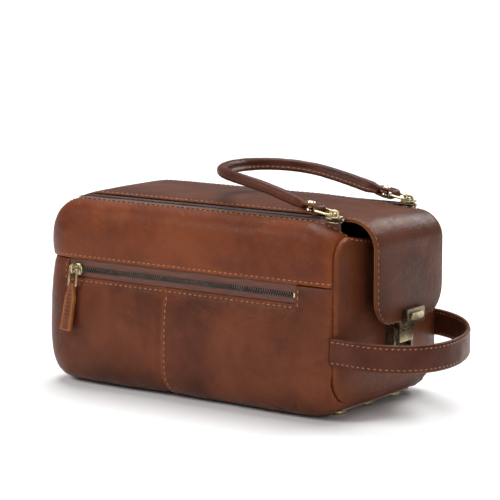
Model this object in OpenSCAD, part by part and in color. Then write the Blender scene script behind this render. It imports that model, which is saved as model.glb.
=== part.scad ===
// Leather toiletry bag with a zip-round top cover, end flap, lock, handle and side strap.
// Millimetres. +Z up, +X towards the flap end, -Y towards the zipped front pocket.
// The origin is the bottom centre of the bounding box, on the plane that the feet stand on.

/* [Body] */
// Length between the two end seams
bag_l = 264; // [230:1:300]
// Depth from the front panel to the back panel
bag_w = 140; // [130:1:160]
// Height of the top zips above the table
bag_h = 141; // [130:1:160]
// Height of the seam between the upper and lower panels
seam_h = 97; // [90:1:105]
// Leather thickness
leather_t = 1.8; // [1.4:0.1:2.4]
// Lining thickness
lining_t = 0.8; // [0.5:0.1:1.2]
// Outward bulge of the end panel under the flap
end_bulge = 8; // [4:1:9]
// Distance of the lower centre seam from mid length, to the left
centre_seam_off = 13; // [0:1:30]

/* [Top cover and flap] */
// Width of the top cover between the zips
cover_w = 94; // [84:1:94]
// Width of the hanging end flap
flap_w = 91; // [80:1:91]
// Outer radius of the bend between cover and flap
bend_r = 22; // [18:1:24]
// Height of the flap's lower edge
flap_low_h = 67; // [60:1:72]
// Corner radius of the flap
flap_corner_r = 20; // [12:1:28]

/* [Zips] */
// Distance of each top zip from the middle of the bag
zip_y = 50; // [50:0.5:51]
// Distance of the sliders at rest from mid length
slider_x = 120; // [110:1:120]
// Length of the pocket zip window
pocket_l = 204; // [180:1:210]
// Height of the pocket zip window
pocket_window_h = 12; // [11:1:14]
// Depth of the pocket bag below its zip
pocket_depth = 57; // [40:1:58]

/* [Handle] */
// Radius of the handle's bend, half the distance between its legs
handle_r = 50; // [50:0.5:51]
// Length of each straight leg, from the pivot to the bend
handle_leg = 72; // [60:1:80]
// Outer diameter of the rolled leather
handle_d = 8; // [7:0.5:10]
// Angle of the resting handle above the cover
handle_tilt = 10; // [8:1:16]

/* [Side strap] */
// Width of the strap
strap_w = 20; // [16:1:24]
// Thickness of the strap
strap_t = 3; // [2.5:0.5:4]
// Reach of the strap's tip from mid length
strap_tip_x = 199; // [190:1:210]
// Height of the strap's middle
strap_h = 52; // [48:1:56]

/* [Hidden] */
$fn = 64;
eps = 0.01;
// clearance between stacked or moving pieces
gap = 0.3;

foot_h = 3;
base_z = foot_h;
half_l = bag_l / 2;
half_w = bag_w / 2;
// the vertical seams at the flap end
seam_x = half_l - 1;
r_bottom = 22;
r_top = 14;
r_shoulder = 28;
r_corner = 14;
board_t = 1.6;
foot_x = half_l - 16;
foot_y = 36;

// cover stack, from the zip tapes up to the leather
tape_t = 0.6;
tape_z = bag_h - leather_t - 0.4 - tape_t;
teeth_z = tape_z - 0.5;
teeth_h = 1.7;
teeth_gap = 0.7;
teeth_w = 0.9;
cover_lining_z = tape_z + tape_t + 0.1;
cover_z = bag_h + 0.4;
cover_top = cover_z + leather_t;
cover_left_x = -half_l + r_shoulder - 4;
cover_right_x = 112;
bend_x = seam_x;
bend_z = cover_top - bend_r;
flap_x = bend_x + bend_r;
backing_t = 0.8;

// end panel and lock
panel_r = (pow(half_w - 2, 2) + end_bulge * end_bulge) / (2 * end_bulge);
panel_x = seam_x + end_bulge;
panel_top_z = 127;
keeper_w = 26;
keeper_low_z = 39;
keeper_h = 23;
keeper_t = 1.2;
keeper_x = panel_x + 0.1;
keeper_depth = 8.4;
keeper_rivet_z = [keeper_low_z + 5, keeper_low_z + keeper_h - 5];
tongue_t = 1.4;
tongue_x = flap_x - leather_t - backing_t - 0.2 - tongue_t;
case_w = 24;
case_low_z = flap_low_h - 2;
case_h = 11;
case_d = 4.6;
case_mid_z = case_low_z + case_h / 2;
button_half_w = 5.5;
button_r = 2.6;
lock_rivet_y = 9.9;
tongue_half_w = 9;
// short enough to swing clear over the side strap
tongue_low_z = keeper_low_z + 12;
button_travel = 1.5;

// zip sliders: two plates, a slot between them and a bail on top
slider_l = 12;
slider_w = 9;
slider_bore = 1.3;
slot_half = 1.45;
plate_t = 1.1;

// front pocket, behind the zip window
window_top = seam_h - 2;
window_low = window_top - pocket_window_h;
window_mid = (window_top + window_low) / 2;
pocket_x0 = -pocket_l / 2 - 1;
pocket_x1 = pocket_l / 2 - 1;
pocket_y = -half_w + leather_t;
pocket_inner = 8;
pocket_wall = 0.6;
sewn_gap = 0.05;
pocket_low = window_low - pocket_depth;
pocket_stop_l = 1.4;
pocket_slider_x = pocket_x0 + pocket_stop_l + gap + slider_l / 2;
pull_tilt = 8;
pull_len = 12;
tab_len = 34;

// handle pivot, through the sliders' bails
pivot_z = bag_h + 4.6;
ring_l = 13;
ring_w = 13;
wire_r = 0.9;

// the bounding box's middle, measured from mid length and mid depth of the body
front_reach = half_w + 2.5 + (pull_len + tab_len) * sin(pull_tilt) + 3.2;
bag_cx = -(strap_tip_x - half_l) / 2;
bag_cy = (front_reach - half_w) / 2;

hide = [0.45, 0.24, 0.14];
dark_hide = [0.33, 0.18, 0.12];
navy = [0.05, 0.05, 0.07];
brass = [0.55, 0.45, 0.27];
tape_brown = [0.35, 0.22, 0.16];

module at_bag() { translate([bag_cx, bag_cy, 0]) children(); }

// a box given by its low and high corners
module span(low, high) { translate(low) cube([for (i = [0:2]) high[i] - low[i]]); }

// a rectangle whose four corners have their own radii
module rounded(low, high, r_ll, r_lr, r_ul, r_ur) {
    difference() {
        translate(low) square([high[0] - low[0], high[1] - low[1]]);
        corner_cut([low[0], low[1]], [1, 1], r_ll);
        corner_cut([high[0], low[1]], [-1, 1], r_lr);
        corner_cut([low[0], high[1]], [1, -1], r_ul);
        corner_cut([high[0], high[1]], [-1, -1], r_ur);
    }
}

module corner_cut(at, towards, r) {
    centre = [at[0] + towards[0] * r, at[1] + towards[1] * r];
    if (r > 0) difference() {
        translate([min(at[0], centre[0]) - (towards[0] > 0 ? 1 : 0),
                   min(at[1], centre[1]) - (towards[1] > 0 ? 1 : 0)]) square(r + 1);
        translate(centre) circle(r);
    }
}

// a cross-section drawn in Y and Z, drawn out along X
module along_x(x0, x1) {
    translate([x0, 0, 0]) rotate([90, 0, 90]) linear_extrude(x1 - x0) children();
}

// a side view drawn in X and Z, drawn out along Y
module along_y(y0, y1) {
    translate([0, y1, 0]) rotate([90, 0, 0]) linear_extrude(y1 - y0) children();
}

// the bag's soft block, each face but the right end moved inwards by an inset
module block(inset) {
    x0 = -half_l + inset;
    x1 = half_l + 10;
    y = half_w - inset;
    z = bag_h - inset;
    intersection() {
        along_x(x0, x1) rounded([-y, base_z + inset], [y, z],
            r_bottom - inset, r_bottom - inset, r_top - inset, r_top - inset);
        along_y(-y, y) rounded([x0, base_z + inset], [x1, z],
            r_corner - inset, 0, r_shoulder - inset, 0);
    }
}

module shell(inset, thick) {
    difference() {
        block(inset);
        block(inset + thick);
    }
}

// the part of the leather shell inside a box
module hide_panel(low, high) {
    intersection() {
        shell(0, leather_t);
        span(low, high);
    }
}

module window_cut() {
    span([pocket_x0, -half_w - 1, window_low], [pocket_x1, -half_w + leather_t + 1, window_top]);
}

// the lower panels wrap under the bag and meet the base panel this far from the middle
wrap_y = half_w - r_bottom;
// the end panel lies between these planes
side_y = half_w - leather_t;

module front_upper_panel() {
    color(hide) at_bag()
    hide_panel([-half_l, -half_w, seam_h], [seam_x, -half_w + r_top, bag_h]);
}

module front_lower_panel(x0, x1) {
    difference() {
        hide_panel([x0, -half_w, base_z], [x1, -wrap_y, seam_h]);
        window_cut();
    }
}

module front_lower_left_panel() {
    color(hide) at_bag() front_lower_panel(-half_l, -centre_seam_off);
}

module front_lower_right_panel() {
    color(hide) at_bag() front_lower_panel(-centre_seam_off, seam_x);
}

module back_upper_panel() {
    color(hide) at_bag()
    hide_panel([-half_l, half_w - r_top, seam_h], [seam_x, half_w, bag_h]);
}

module back_lower_panel() {
    color(hide) at_bag()
    hide_panel([-half_l, wrap_y, base_z], [seam_x, half_w, seam_h]);
}

module left_end_panel() {
    color(hide) at_bag()
    difference() {
        hide_panel([-half_l, -half_w, base_z], [cover_left_x - gap, half_w, bag_h]);
        span([-half_l - 1, -half_w - 1, seam_h], [0, -half_w + r_top, bag_h + 1]);
        span([-half_l - 1, half_w - r_top, seam_h], [0, half_w + 1, bag_h + 1]);
        span([-half_l - 1, -half_w - 1, 0], [0, -wrap_y, seam_h]);
        span([-half_l - 1, wrap_y, 0], [0, half_w + 1, seam_h]);
        span([-half_l + r_corner, -half_w, 0], [0, half_w, base_z + r_corner]);
    }
}

module foot_holes(r, z0, z1) {
    for (x = [-foot_x, foot_x], y = [-foot_y, 0, foot_y])
        translate([x, y, z0]) cylinder(r = r, h = z1 - z0);
}

module base_panel() {
    color(dark_hide) at_bag()
    difference() {
        hide_panel([-half_l + r_corner, -wrap_y, base_z], [seam_x, wrap_y, base_z + r_corner]);
        foot_holes(1.3, base_z - 1, base_z + leather_t + 1);
    }
}

// the flap end: a panel bowed outwards, drawn from above and trimmed to the bag's outline
module bowed_panel(x_outer, thick) {
    difference() {
        translate([x_outer - panel_r, 0, 0]) cylinder(r = panel_r, h = bag_h, $fn = 200);
        translate([x_outer - panel_r, 0, -1]) cylinder(r = panel_r - thick, h = bag_h + 2, $fn = 200);
        span([-2 * panel_r, -panel_r, -2], [seam_x - leather_t, panel_r, bag_h + 2]);
    }
}

module keeper_rivet_holes(r) {
    for (z = keeper_rivet_z)
        translate([panel_x - 6, 0, z]) rotate([0, 90, 0]) cylinder(r = r, h = 12);
}

module right_end_panel() {
    color(hide) at_bag()
    difference() {
        intersection() {
            bowed_panel(panel_x, leather_t);
            along_x(half_l - 6, half_l + 20)
            rounded([-side_y, base_z + leather_t], [side_y, panel_top_z],
                r_bottom - leather_t, r_bottom - leather_t, 10, 10);
        }
        keeper_rivet_holes(1.3);
    }
}

// the stitched leather strip behind the end panel's upper edge
module right_end_facing() {
    color(dark_hide) at_bag()
    intersection() {
        bowed_panel(panel_x - leather_t - 0.1, 1);
        span([0, -40, panel_top_z - 16], [half_l + 20, 40, panel_top_z - 0.5]);
    }
}

module body_lining() {
    color(navy) at_bag()
    difference() {
        intersection() {
            block(leather_t + 3.2);
            span([-half_l, -half_w, 0], [half_l - 5, half_w, panel_top_z - 2]);
        }
        translate([0, 0, lining_t]) intersection() {
            block(leather_t + 3.2 + lining_t);
            span([-half_l, -half_w, 0], [half_l - 5 - lining_t, half_w, bag_h]);
        }
        span([-half_l + 30, -half_w, panel_top_z - 3], [half_l, half_w, bag_h]);
        // room for the pocket bag in the front wall
        span([pocket_x0 - 3, -half_w, pocket_low - 1], [pocket_x1 + 3, pocket_y + pocket_inner + 4, bag_h]);
    }
}

module base_board() {
    color([0.5, 0.4, 0.3]) at_bag()
    difference() {
        span([-half_l + r_corner + 2, -wrap_y + 4, base_z + leather_t],
             [seam_x - 6, wrap_y - 4, base_z + leather_t + board_t]);
        foot_holes(1.3, base_z, base_z + 6);
    }
}

module base_feet() {
    color(brass) at_bag()
    for (x = [-foot_x, foot_x], y = [-foot_y, 0, foot_y]) translate([x, y, 0]) {
        cylinder(r1 = 4.2, r2 = 5.4, h = 1.2);
        translate([0, 0, 1.2]) cylinder(r = 5.4, h = foot_h - 1.2);
        translate([0, 0, foot_h - 0.2]) cylinder(r = 1.2, h = leather_t + 2.6);
    }
}

module foot_washers() {
    color(brass) at_bag()
    for (x = [-foot_x, foot_x], y = [-foot_y, 0, foot_y])
        translate([x, y, base_z + leather_t + board_t]) difference() {
            cylinder(r = 3, h = 0.6);
            translate([0, 0, -1]) cylinder(r = 1.3, h = 3);
        }
}

// zip halves: side is -1 at the front zip and 1 at the back zip
module body_tape(side) {
    x1 = half_l - 3;
    y0 = zip_y + teeth_gap + teeth_w;
    y1 = half_w - r_top + 2.2;
    span([cover_left_x, min(side * y0, side * y1), tape_z],
         [x1, max(side * y0, side * y1), tape_z + tape_t]);
}

module body_teeth(side) {
    y0 = side * (zip_y + teeth_gap);
    y1 = side * (zip_y + teeth_gap + teeth_w);
    span([cover_left_x + 2, min(y0, y1), teeth_z], [half_l - 4, max(y0, y1), teeth_z + teeth_h]);
}

module cover_tape(side) {
    y0 = side * (zip_y - teeth_gap - teeth_w);
    y1 = side * (cover_w / 2 - 8);
    span([cover_left_x, min(y0, y1), tape_z], [cover_right_x + 16, max(y0, y1), tape_z + tape_t]);
}

module cover_teeth(side) {
    y0 = side * (zip_y - teeth_gap - teeth_w);
    y1 = side * (zip_y - teeth_gap);
    span([cover_left_x + 2, min(y0, y1), teeth_z], [half_l - 4, max(y0, y1), teeth_z + teeth_h]);
}

module front_zip_tape_body() { color(tape_brown) at_bag() body_tape(-1); }

module back_zip_tape_body() { color(tape_brown) at_bag() body_tape(1); }

module front_zip_teeth_body() { color(navy) at_bag() body_teeth(-1); }

module back_zip_teeth_body() { color(navy) at_bag() body_teeth(1); }

module front_zip_tape_cover() { color(tape_brown) at_bag() cover_tape(-1); }

module back_zip_tape_cover() { color(tape_brown) at_bag() cover_tape(1); }

module front_zip_teeth_cover() { color(navy) at_bag() cover_teeth(-1); }

module back_zip_teeth_cover() { color(navy) at_bag() cover_teeth(1); }

// the stop at the closed left end of each top zip, on the body's tape
module top_zip_bottom_stops() {
    color(brass) at_bag()
    for (side = [-1, 1])
        translate([cover_left_x, side * (zip_y + 2.4) - 0.8, tape_z + tape_t]) cube([1.6, 1.6, 1]);
}

// the stops beyond the sliders, on the cover's tapes
module top_zip_top_stops() {
    color(brass) at_bag()
    for (side = [-1, 1])
        translate([half_l - 4, side * (zip_y - 1.6) - 0.5, teeth_z]) cube([1.4, 1, teeth_h]);
}

// the pocket bag: flat cloth walls, sewn edge to edge, with a thin gap at each stitched edge
module pocket_bag() {
    x0 = pocket_x0 - 1;
    x1 = pocket_x1 + 1;
    y0 = pocket_y + 0.2;
    y1 = pocket_y + pocket_inner + 2 * pocket_wall;
    z1 = window_top + 1;
    in = pocket_wall + sewn_gap;
    color(navy) at_bag() {
        span([x0, y1 - pocket_wall, pocket_low], [x1, y1, z1]);
        span([x0, y0, pocket_low + in], [x1, y0 + pocket_wall, window_low - sewn_gap]);
        span([x0, y0, pocket_low], [x1, y1 - in, pocket_low + pocket_wall]);
        for (x = [x0, x1 - pocket_wall])
            span([x, y0 + in, pocket_low + in], [x + pocket_wall, y1 - in, z1]);
        span([x0 + in, y0 + in, z1 - pocket_wall], [x1 - in, y1 - in, z1]);
    }
}

// pocket zip halves fill the window, leaving the slider's slot between their teeth
module pocket_half(z_edge, z_teeth) {
    span([pocket_x0, -half_w + 0.9, min(z_edge, z_teeth)],
         [pocket_x1, -half_w + 0.9 + tape_t, max(z_edge, z_teeth)]);
}

module pocket_teeth(z0) {
    span([pocket_x0 + pocket_stop_l, -half_w + 0.3, z0], [pocket_x1 - pocket_stop_l, -half_w + 2, z0 + teeth_w]);
}

module pocket_tape_upper() {
    color(tape_brown) at_bag() pocket_half(window_top, window_mid + teeth_gap + teeth_w);
}

module pocket_tape_lower() {
    color(tape_brown) at_bag() pocket_half(window_low, window_mid - teeth_gap - teeth_w);
}

module pocket_teeth_upper() {
    color(navy) at_bag() pocket_teeth(window_mid + teeth_gap);
}

module pocket_teeth_lower() {
    color(navy) at_bag() pocket_teeth(window_mid - teeth_gap - teeth_w);
}

module pocket_zip_stops() {
    color(brass) at_bag()
    for (x = [pocket_x0, pocket_x1 - pocket_stop_l])
        span([x, -half_w + 0.3, window_mid - 1.6], [x + pocket_stop_l, -half_w + 0.9, window_mid + 1.6]);
}

// the strap's line, seen from above: it leaves the front seam outwards and comes back flatter to the back one
strap_root_y = half_w;
strap_root_in = strap_root_y - strap_t;
strap_root_x = panel_x - panel_r + sqrt(panel_r * panel_r - strap_root_in * strap_root_in) + 3 * gap;
strap_controls = [[0, -strap_root_in], [84, -86], [91, 36], [0, strap_root_in]];
strap_steps = 48;
function strap_curve(t) =
    pow(1 - t, 3) * strap_controls[0] + 3 * t * pow(1 - t, 2) * strap_controls[1]
    + 3 * t * t * (1 - t) * strap_controls[2] + pow(t, 3) * strap_controls[3];
function strap_outward(t) =
    let (d = strap_curve(t + 0.001) - strap_curve(t - 0.001)) [d[1], -d[0]] / norm(d);
strap_reach = max([for (i = [0:strap_steps]) strap_curve(i / strap_steps)[0]]);
function strap_point(t, grow) =
    let (p = strap_curve(t), n = strap_outward(t))
    [strap_root_x + p[0] * (strap_tip_x - strap_t - strap_root_x) / strap_reach + n[0] * grow, p[1] + n[1] * grow];

module side_strap() {
    outer = [for (i = [0:strap_steps]) strap_point(i / strap_steps, strap_t)];
    inner = [for (i = [strap_steps:-1:0]) strap_point(i / strap_steps, 0)];
    color(dark_hide) at_bag()
    translate([0, 0, strap_h - strap_w / 2]) linear_extrude(strap_w) polygon(concat(outer, inner));
}

// the keeper: a channel open at the front and top, which the lock's tongue hangs in
module keeper() {
    w = keeper_w / 2;
    z1 = keeper_low_z + keeper_h;
    color(brass) at_bag()
    difference() {
        span([keeper_x, -w, keeper_low_z], [keeper_x + keeper_depth, w, z1]);
        span([keeper_x + keeper_t, -w + 2.4, keeper_low_z + 1.2], [keeper_x + keeper_depth + 1, w - 2.4, z1 + 1]);
        for (z = keeper_rivet_z)
            translate([keeper_x - 1, 0, z]) rotate([0, 90, 0]) cylinder(r = 1.3, h = 4);
    }
}

module keeper_backing() {
    x = panel_x - leather_t - 2.4;
    color(brass) at_bag()
    difference() {
        span([x, -11, keeper_low_z + 1], [x + 1, 11, keeper_low_z + keeper_h - 1]);
        keeper_rivet_holes(1.3);
    }
}

module keeper_rivets() {
    x0 = panel_x - leather_t - 2.9;
    color(brass) at_bag()
    for (z = keeper_rivet_z) translate([x0, 0, z]) rotate([0, 90, 0]) {
        cylinder(r = 2.2, h = 0.5);
        cylinder(r = 1.2, h = keeper_x + keeper_t - x0 + 0.4);
        translate([0, 0, keeper_x + keeper_t - x0]) cylinder(r = 2.4, h = 0.8);
    }
}

// the bend between cover and flap, a part of a tube about the bend's centre
module bend(r_outer, thick, width, a0, a1) {
    translate([bend_x, width / 2, bend_z]) rotate([90, 0, 0])
    rotate([0, 0, a0]) rotate_extrude(angle = a1 - a0, $fn = 128)
    translate([r_outer - thick, 0]) square([thick, width]);
}

module top_cover() {
    color(hide) at_bag() {
        span([cover_left_x, -cover_w / 2, cover_z], [cover_right_x, cover_w / 2, cover_top]);
        span([cover_right_x - eps, -flap_w / 2, cover_z], [bend_x, flap_w / 2, cover_top]);
        bend(bend_r, leather_t, flap_w, 45.5, 90);
    }
}

module cover_padding() {
    color([0.6, 0.6, 0.6]) at_bag()
    span([cover_left_x + 2, -cover_w / 2 + 2, cover_lining_z + 0.7], [cover_right_x, cover_w / 2 - 2, cover_z]);
}

module cover_lining() {
    color(navy) at_bag()
    span([cover_left_x + 1, -cover_w / 2 + 1, cover_lining_z],
         [cover_right_x + 6, cover_w / 2 - 1, cover_lining_z + 0.6]);
}

module cover_end_facing() {
    z1 = cover_z - 0.1;
    w = flap_w / 2 - 0.5;
    color(dark_hide) at_bag() {
        span([cover_right_x + 0.2, -w, z1 - backing_t], [bend_x, w, z1]);
        bend(bend_r - leather_t - 0.1, backing_t, 2 * w, 46.5, 90);
    }
}

// the flap's flat part: its lower corners are round
module flap_plate(x0, thick, margin) {
    w = flap_w / 2 - margin;
    r = flap_corner_r - margin;
    along_x(x0, x0 + thick)
    rounded([-w, flap_low_h + margin], [w, bend_z], r, r, eps, eps);
}

module end_flap() {
    color(dark_hide) at_bag()
    difference() {
        union() {
            flap_plate(flap_x - leather_t, leather_t, 0);
            bend(bend_r, leather_t, flap_w, 0, 44.5);
        }
        lock_rivet_holes(1.1);
    }
}

module flap_backing() {
    color(dark_hide) at_bag()
    difference() {
        union() {
            flap_plate(flap_x - leather_t - 0.1 - backing_t, backing_t, 0.5);
            bend(bend_r - leather_t - 0.1, backing_t, flap_w - 1, 0, 43.5);
        }
        lock_rivet_holes(1.1);
    }
}

module lock_rivet_holes(r) {
    for (side = [-1, 1])
        translate([tongue_x - 1, side * lock_rivet_y, case_mid_z]) rotate([0, 90, 0]) cylinder(r = r, h = 7);
}

// rounded button outline, seen from the end of the bag
module button_outline(grow) {
    r = button_r + grow;
    for (side = [-1, 1]) translate([side * button_half_w, case_mid_z]) circle(r = r);
    translate([-button_half_w, case_mid_z - r]) square([2 * button_half_w, 2 * r]);
}

module lock_case() {
    w = case_w / 2;
    color(brass) at_bag()
    difference() {
        along_x(flap_x + 0.1, flap_x + 0.1 + case_d)
        rounded([-w, case_low_z], [w, case_low_z + case_h], 2, 2, 2, 2);
        // the button's well, open through the face
        along_x(flap_x + 0.9, flap_x + 8) button_outline(gap);
        lock_rivet_holes(1.1);
    }
}

module lock_tongue() {
    w = case_w / 2 - 0.4;
    color(brass) at_bag()
    difference() {
        union() {
            span([tongue_x, -w, case_low_z + 2], [tongue_x + tongue_t, w, case_low_z + case_h]);
            span([tongue_x, -tongue_half_w, tongue_low_z],
                 [tongue_x + tongue_t, tongue_half_w, case_low_z + 3]);
        }
        lock_rivet_holes(1.1);
    }
}

module lock_rivets() {
    color(brass) at_bag()
    for (side = [-1, 1]) translate([tongue_x - 0.6, side * lock_rivet_y, case_mid_z]) rotate([0, 90, 0]) {
        cylinder(r = 1.9, h = 0.6);
        cylinder(r = 1, h = 4.9);
    }
}

// leaf spring on the floor of the button's well
module lock_spring() {
    color("silver") at_bag()
    span([flap_x + 0.9, -5, case_mid_z - 1.5], [flap_x + 1.3, 5, case_mid_z + 1.5]);
}

module lock_button() {
    color(brass) at_bag()
    along_x(flap_x + 1.3 + button_travel + 0.3, flap_x + case_d + 1.6) button_outline(0);
}

// a zip slider, its length along X and its pull side up: two plates joined by a thin wedge
module slider(bail_h, bail_turn) {
    for (z = [-slot_half - plate_t, slot_half])
        translate([-slider_l / 2, -slider_w / 2, z]) cube([slider_l, slider_w, plate_t]);
    translate([slider_l / 2 - 4, -0.3, -slot_half - eps]) cube([4, 0.6, 2 * (slot_half + eps)]);
    rotate([0, 0, bail_turn]) difference() {
        translate([-2.6, -1.6, slot_half + 1]) cube([5.2, 3.2, bail_h - slot_half + 1.2]);
        translate([0, -3, bail_h]) rotate([-90, 0, 0]) cylinder(r = slider_bore, h = 6);
    }
}

slider_mid_z = teeth_z + teeth_h / 2;

module front_slider() {
    color(brass) at_bag() translate([slider_x, -zip_y, slider_mid_z]) slider(pivot_z - slider_mid_z, 0);
}

module back_slider() {
    color(brass) at_bag() translate([slider_x, zip_y, slider_mid_z]) slider(pivot_z - slider_mid_z, 0);
}

module wire(from, length, axis) {
    translate(from) rotate(axis) cylinder(r = wire_r, h = length);
}

// a rectangular wire ring in the handle's plane, from the pivot to the leather loop
module ring() {
    w = ring_w / 2;
    for (x = [0, -ring_l]) wire([x, -w, 0], ring_w, [-90, 0, 0]);
    for (y = [-w, w]) wire([0, y, 0], ring_l, [0, -90, 0]);
    for (x = [0, -ring_l], y = [-w, w]) translate([x, y, 0]) sphere(wire_r);
}

// everything on the handle is drawn flat, pointing left from the pivot, then tilted up
module on_handle() {
    translate([slider_x, 0, pivot_z]) rotate([0, handle_tilt, 0]) children();
}

leg_start = ring_l + 12;

module handle_rings() {
    color(brass) at_bag() on_handle() for (y = [-zip_y, zip_y]) translate([0, y, 0]) ring();
}

// cross-section of the rolled leather: a tube with its stitched edge on the inside of the bend
module roll_section(bored) {
    difference() {
        union() {
            circle(d = handle_d);
            translate([-handle_d / 2 - 3, -1.3]) square([4, 2.6]);
        }
        if (bored) circle(r = handle_d / 2 - 1.2);
    }
}

module swept_handle() {
    for (side = [-1, 1])
        translate([-handle_leg, side * handle_r, 0]) rotate([0, 90, 0])
        linear_extrude(handle_leg - leg_start)
        rotate([0, 0, side * 90]) children();
    translate([-handle_leg, 0, 0]) rotate([0, 0, 90])
    rotate_extrude(angle = 180, $fn = 128) translate([handle_r, 0]) children();
}

module handle_cover() { color(dark_hide) at_bag() on_handle() swept_handle() roll_section(true); }

module handle_core() {
    color([0.7, 0.6, 0.45]) at_bag() on_handle() swept_handle() circle(r = handle_d / 2 - 1.5);
}

// a folded leather tab: round the ring's bar, then both plies back to the rolled leg
loop_in = 1.9;
loop_w = 9.6;
module handle_loop() {
    r = loop_in + 1.6;
    translate([0, loop_w / 2, 0]) rotate([90, 0, 0]) linear_extrude(loop_w)
    difference() {
        union() {
            translate([-ring_l, 0]) circle(r);
            translate([-leg_start, -r]) square([leg_start - ring_l, 2 * r]);
        }
        translate([-ring_l, 0]) circle(loop_in);
        translate([-ring_l - 4.5, -loop_in]) square([4.5, 2 * loop_in]);
        translate([-leg_start + 5.2, 0]) square([2.3, 20], center = true);
    }
}

module loop_rivet() {
    translate([-leg_start + 5.2, 0, 0]) difference() {
        union() {
            translate([0, 0, loop_in + 1.6]) cylinder(r = 3, h = 0.9);
            translate([0, 0, -loop_in - 1.6 - 0.9]) cylinder(r = 3, h = 0.9);
            translate([0, 0, -loop_in - 2]) cylinder(r = 1, h = 2 * loop_in + 4);
        }
    }
}

module front_handle_loop() { color(dark_hide) at_bag() on_handle() translate([0, -zip_y, 0]) handle_loop(); }

module back_handle_loop() { color(dark_hide) at_bag() on_handle() translate([0, zip_y, 0]) handle_loop(); }

module handle_rivets() { color(brass) at_bag() on_handle() for (y = [-zip_y, zip_y]) translate([0, y, 0]) loop_rivet(); }

// the pocket's slider, lying on its side: its pull side faces the front
module on_pocket_slider() {
    translate([pocket_slider_x, -half_w + 1.15, window_mid]) rotate([90, 0, 0]) children();
}
pull_pivot = 5.4;

module pocket_slider() { color(brass) at_bag() on_pocket_slider() slider(pull_pivot, 90); }

// the pull hangs from the bail and leans a little off the panel
module on_pull() {
    on_pocket_slider() translate([0, 0, pull_pivot]) rotate([-pull_tilt, 0, 0]) children();
}

module pocket_pull() {
    color(brass) at_bag() on_pull() {
        wire([-3.4, 0, 0], 6.8, [0, 90, 0]);
        for (x = [-3.4, 3.4]) {
            wire([x, 0, 0], pull_len, [90, 0, 0]);
            for (y = [0, -pull_len]) translate([x, y, 0]) sphere(wire_r);
        }
        wire([-3.4, -pull_len, 0], 6.8, [0, 90, 0]);
    }
}

// the folded leather tab on the pull's lower bar
module pocket_tab() {
    color(dark_hide) at_bag() on_pull() translate([0, -pull_len, 0])
    difference() {
        union() {
            rotate([0, 90, 0]) translate([0, 0, -2.2]) cylinder(r = 2.3, h = 4.4);
            span([-2.2, -8, -1.5], [2.2, 0, 1.5]);
            span([-4.4, -tab_len, -1.5], [4.4, -3.5, 1.5]);
        }
        rotate([0, 90, 0]) translate([0, 0, -6]) cylinder(r = 1.3, h = 12);
    }
}

front_upper_panel();
front_lower_left_panel();
front_lower_right_panel();
back_upper_panel();
back_lower_panel();
base_panel();
left_end_panel();
right_end_panel();
right_end_facing();
body_lining();
base_board();
base_feet();
foot_washers();
front_zip_tape_body();
back_zip_tape_body();
front_zip_teeth_body();
back_zip_teeth_body();
top_zip_bottom_stops();
pocket_bag();
pocket_tape_upper();
pocket_tape_lower();
pocket_teeth_upper();
pocket_teeth_lower();
pocket_zip_stops();
side_strap();
keeper();
keeper_backing();
keeper_rivets();
top_cover();
cover_padding();
cover_lining();
cover_end_facing();
front_zip_tape_cover();
back_zip_tape_cover();
front_zip_teeth_cover();
back_zip_teeth_cover();
top_zip_top_stops();
end_flap();
flap_backing();
lock_case();
lock_tongue();
lock_rivets();
lock_spring();
lock_button();
front_slider();
back_slider();
handle_rings();
handle_cover();
handle_core();
front_handle_loop();
back_handle_loop();
handle_rivets();
pocket_slider();
pocket_pull();
pocket_tab();
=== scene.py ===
"""A leather toiletry bag: its looks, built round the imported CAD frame. Bag coordinates are in millimetres,
with X from mid length towards the flap end, Y from mid depth towards the back, and Z up from the table."""
import math

import bmesh
import bpy
import numpy as np
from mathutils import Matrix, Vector, noise

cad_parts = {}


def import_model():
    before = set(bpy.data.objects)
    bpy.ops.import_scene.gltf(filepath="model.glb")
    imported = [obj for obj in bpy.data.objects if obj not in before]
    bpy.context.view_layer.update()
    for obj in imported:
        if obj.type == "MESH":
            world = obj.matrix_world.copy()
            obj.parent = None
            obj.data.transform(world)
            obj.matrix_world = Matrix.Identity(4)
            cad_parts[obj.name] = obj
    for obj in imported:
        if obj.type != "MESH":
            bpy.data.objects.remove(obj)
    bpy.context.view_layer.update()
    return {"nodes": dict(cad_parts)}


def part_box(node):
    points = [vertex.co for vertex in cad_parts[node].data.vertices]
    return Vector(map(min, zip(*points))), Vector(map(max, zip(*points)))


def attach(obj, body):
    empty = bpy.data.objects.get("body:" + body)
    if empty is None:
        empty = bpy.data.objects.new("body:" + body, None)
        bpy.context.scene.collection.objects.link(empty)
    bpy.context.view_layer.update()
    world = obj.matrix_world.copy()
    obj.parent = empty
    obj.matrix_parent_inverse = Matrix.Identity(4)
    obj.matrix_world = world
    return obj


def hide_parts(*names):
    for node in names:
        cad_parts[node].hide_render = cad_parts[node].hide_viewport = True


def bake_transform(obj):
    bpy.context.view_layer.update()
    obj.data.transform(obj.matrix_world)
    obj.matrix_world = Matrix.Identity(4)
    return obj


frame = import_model()

MM = 0.001

# ---------------------------------------------------------------- measures taken from the frame


def corners(node):
    """A node's low and high corners in bag coordinates."""
    low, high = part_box(node)
    return (np.array(low) - ORIGIN) / MM, (np.array(high) - ORIGIN) / MM


def middle(node):
    low, high = corners(node)
    return (low + high) / 2


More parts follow.
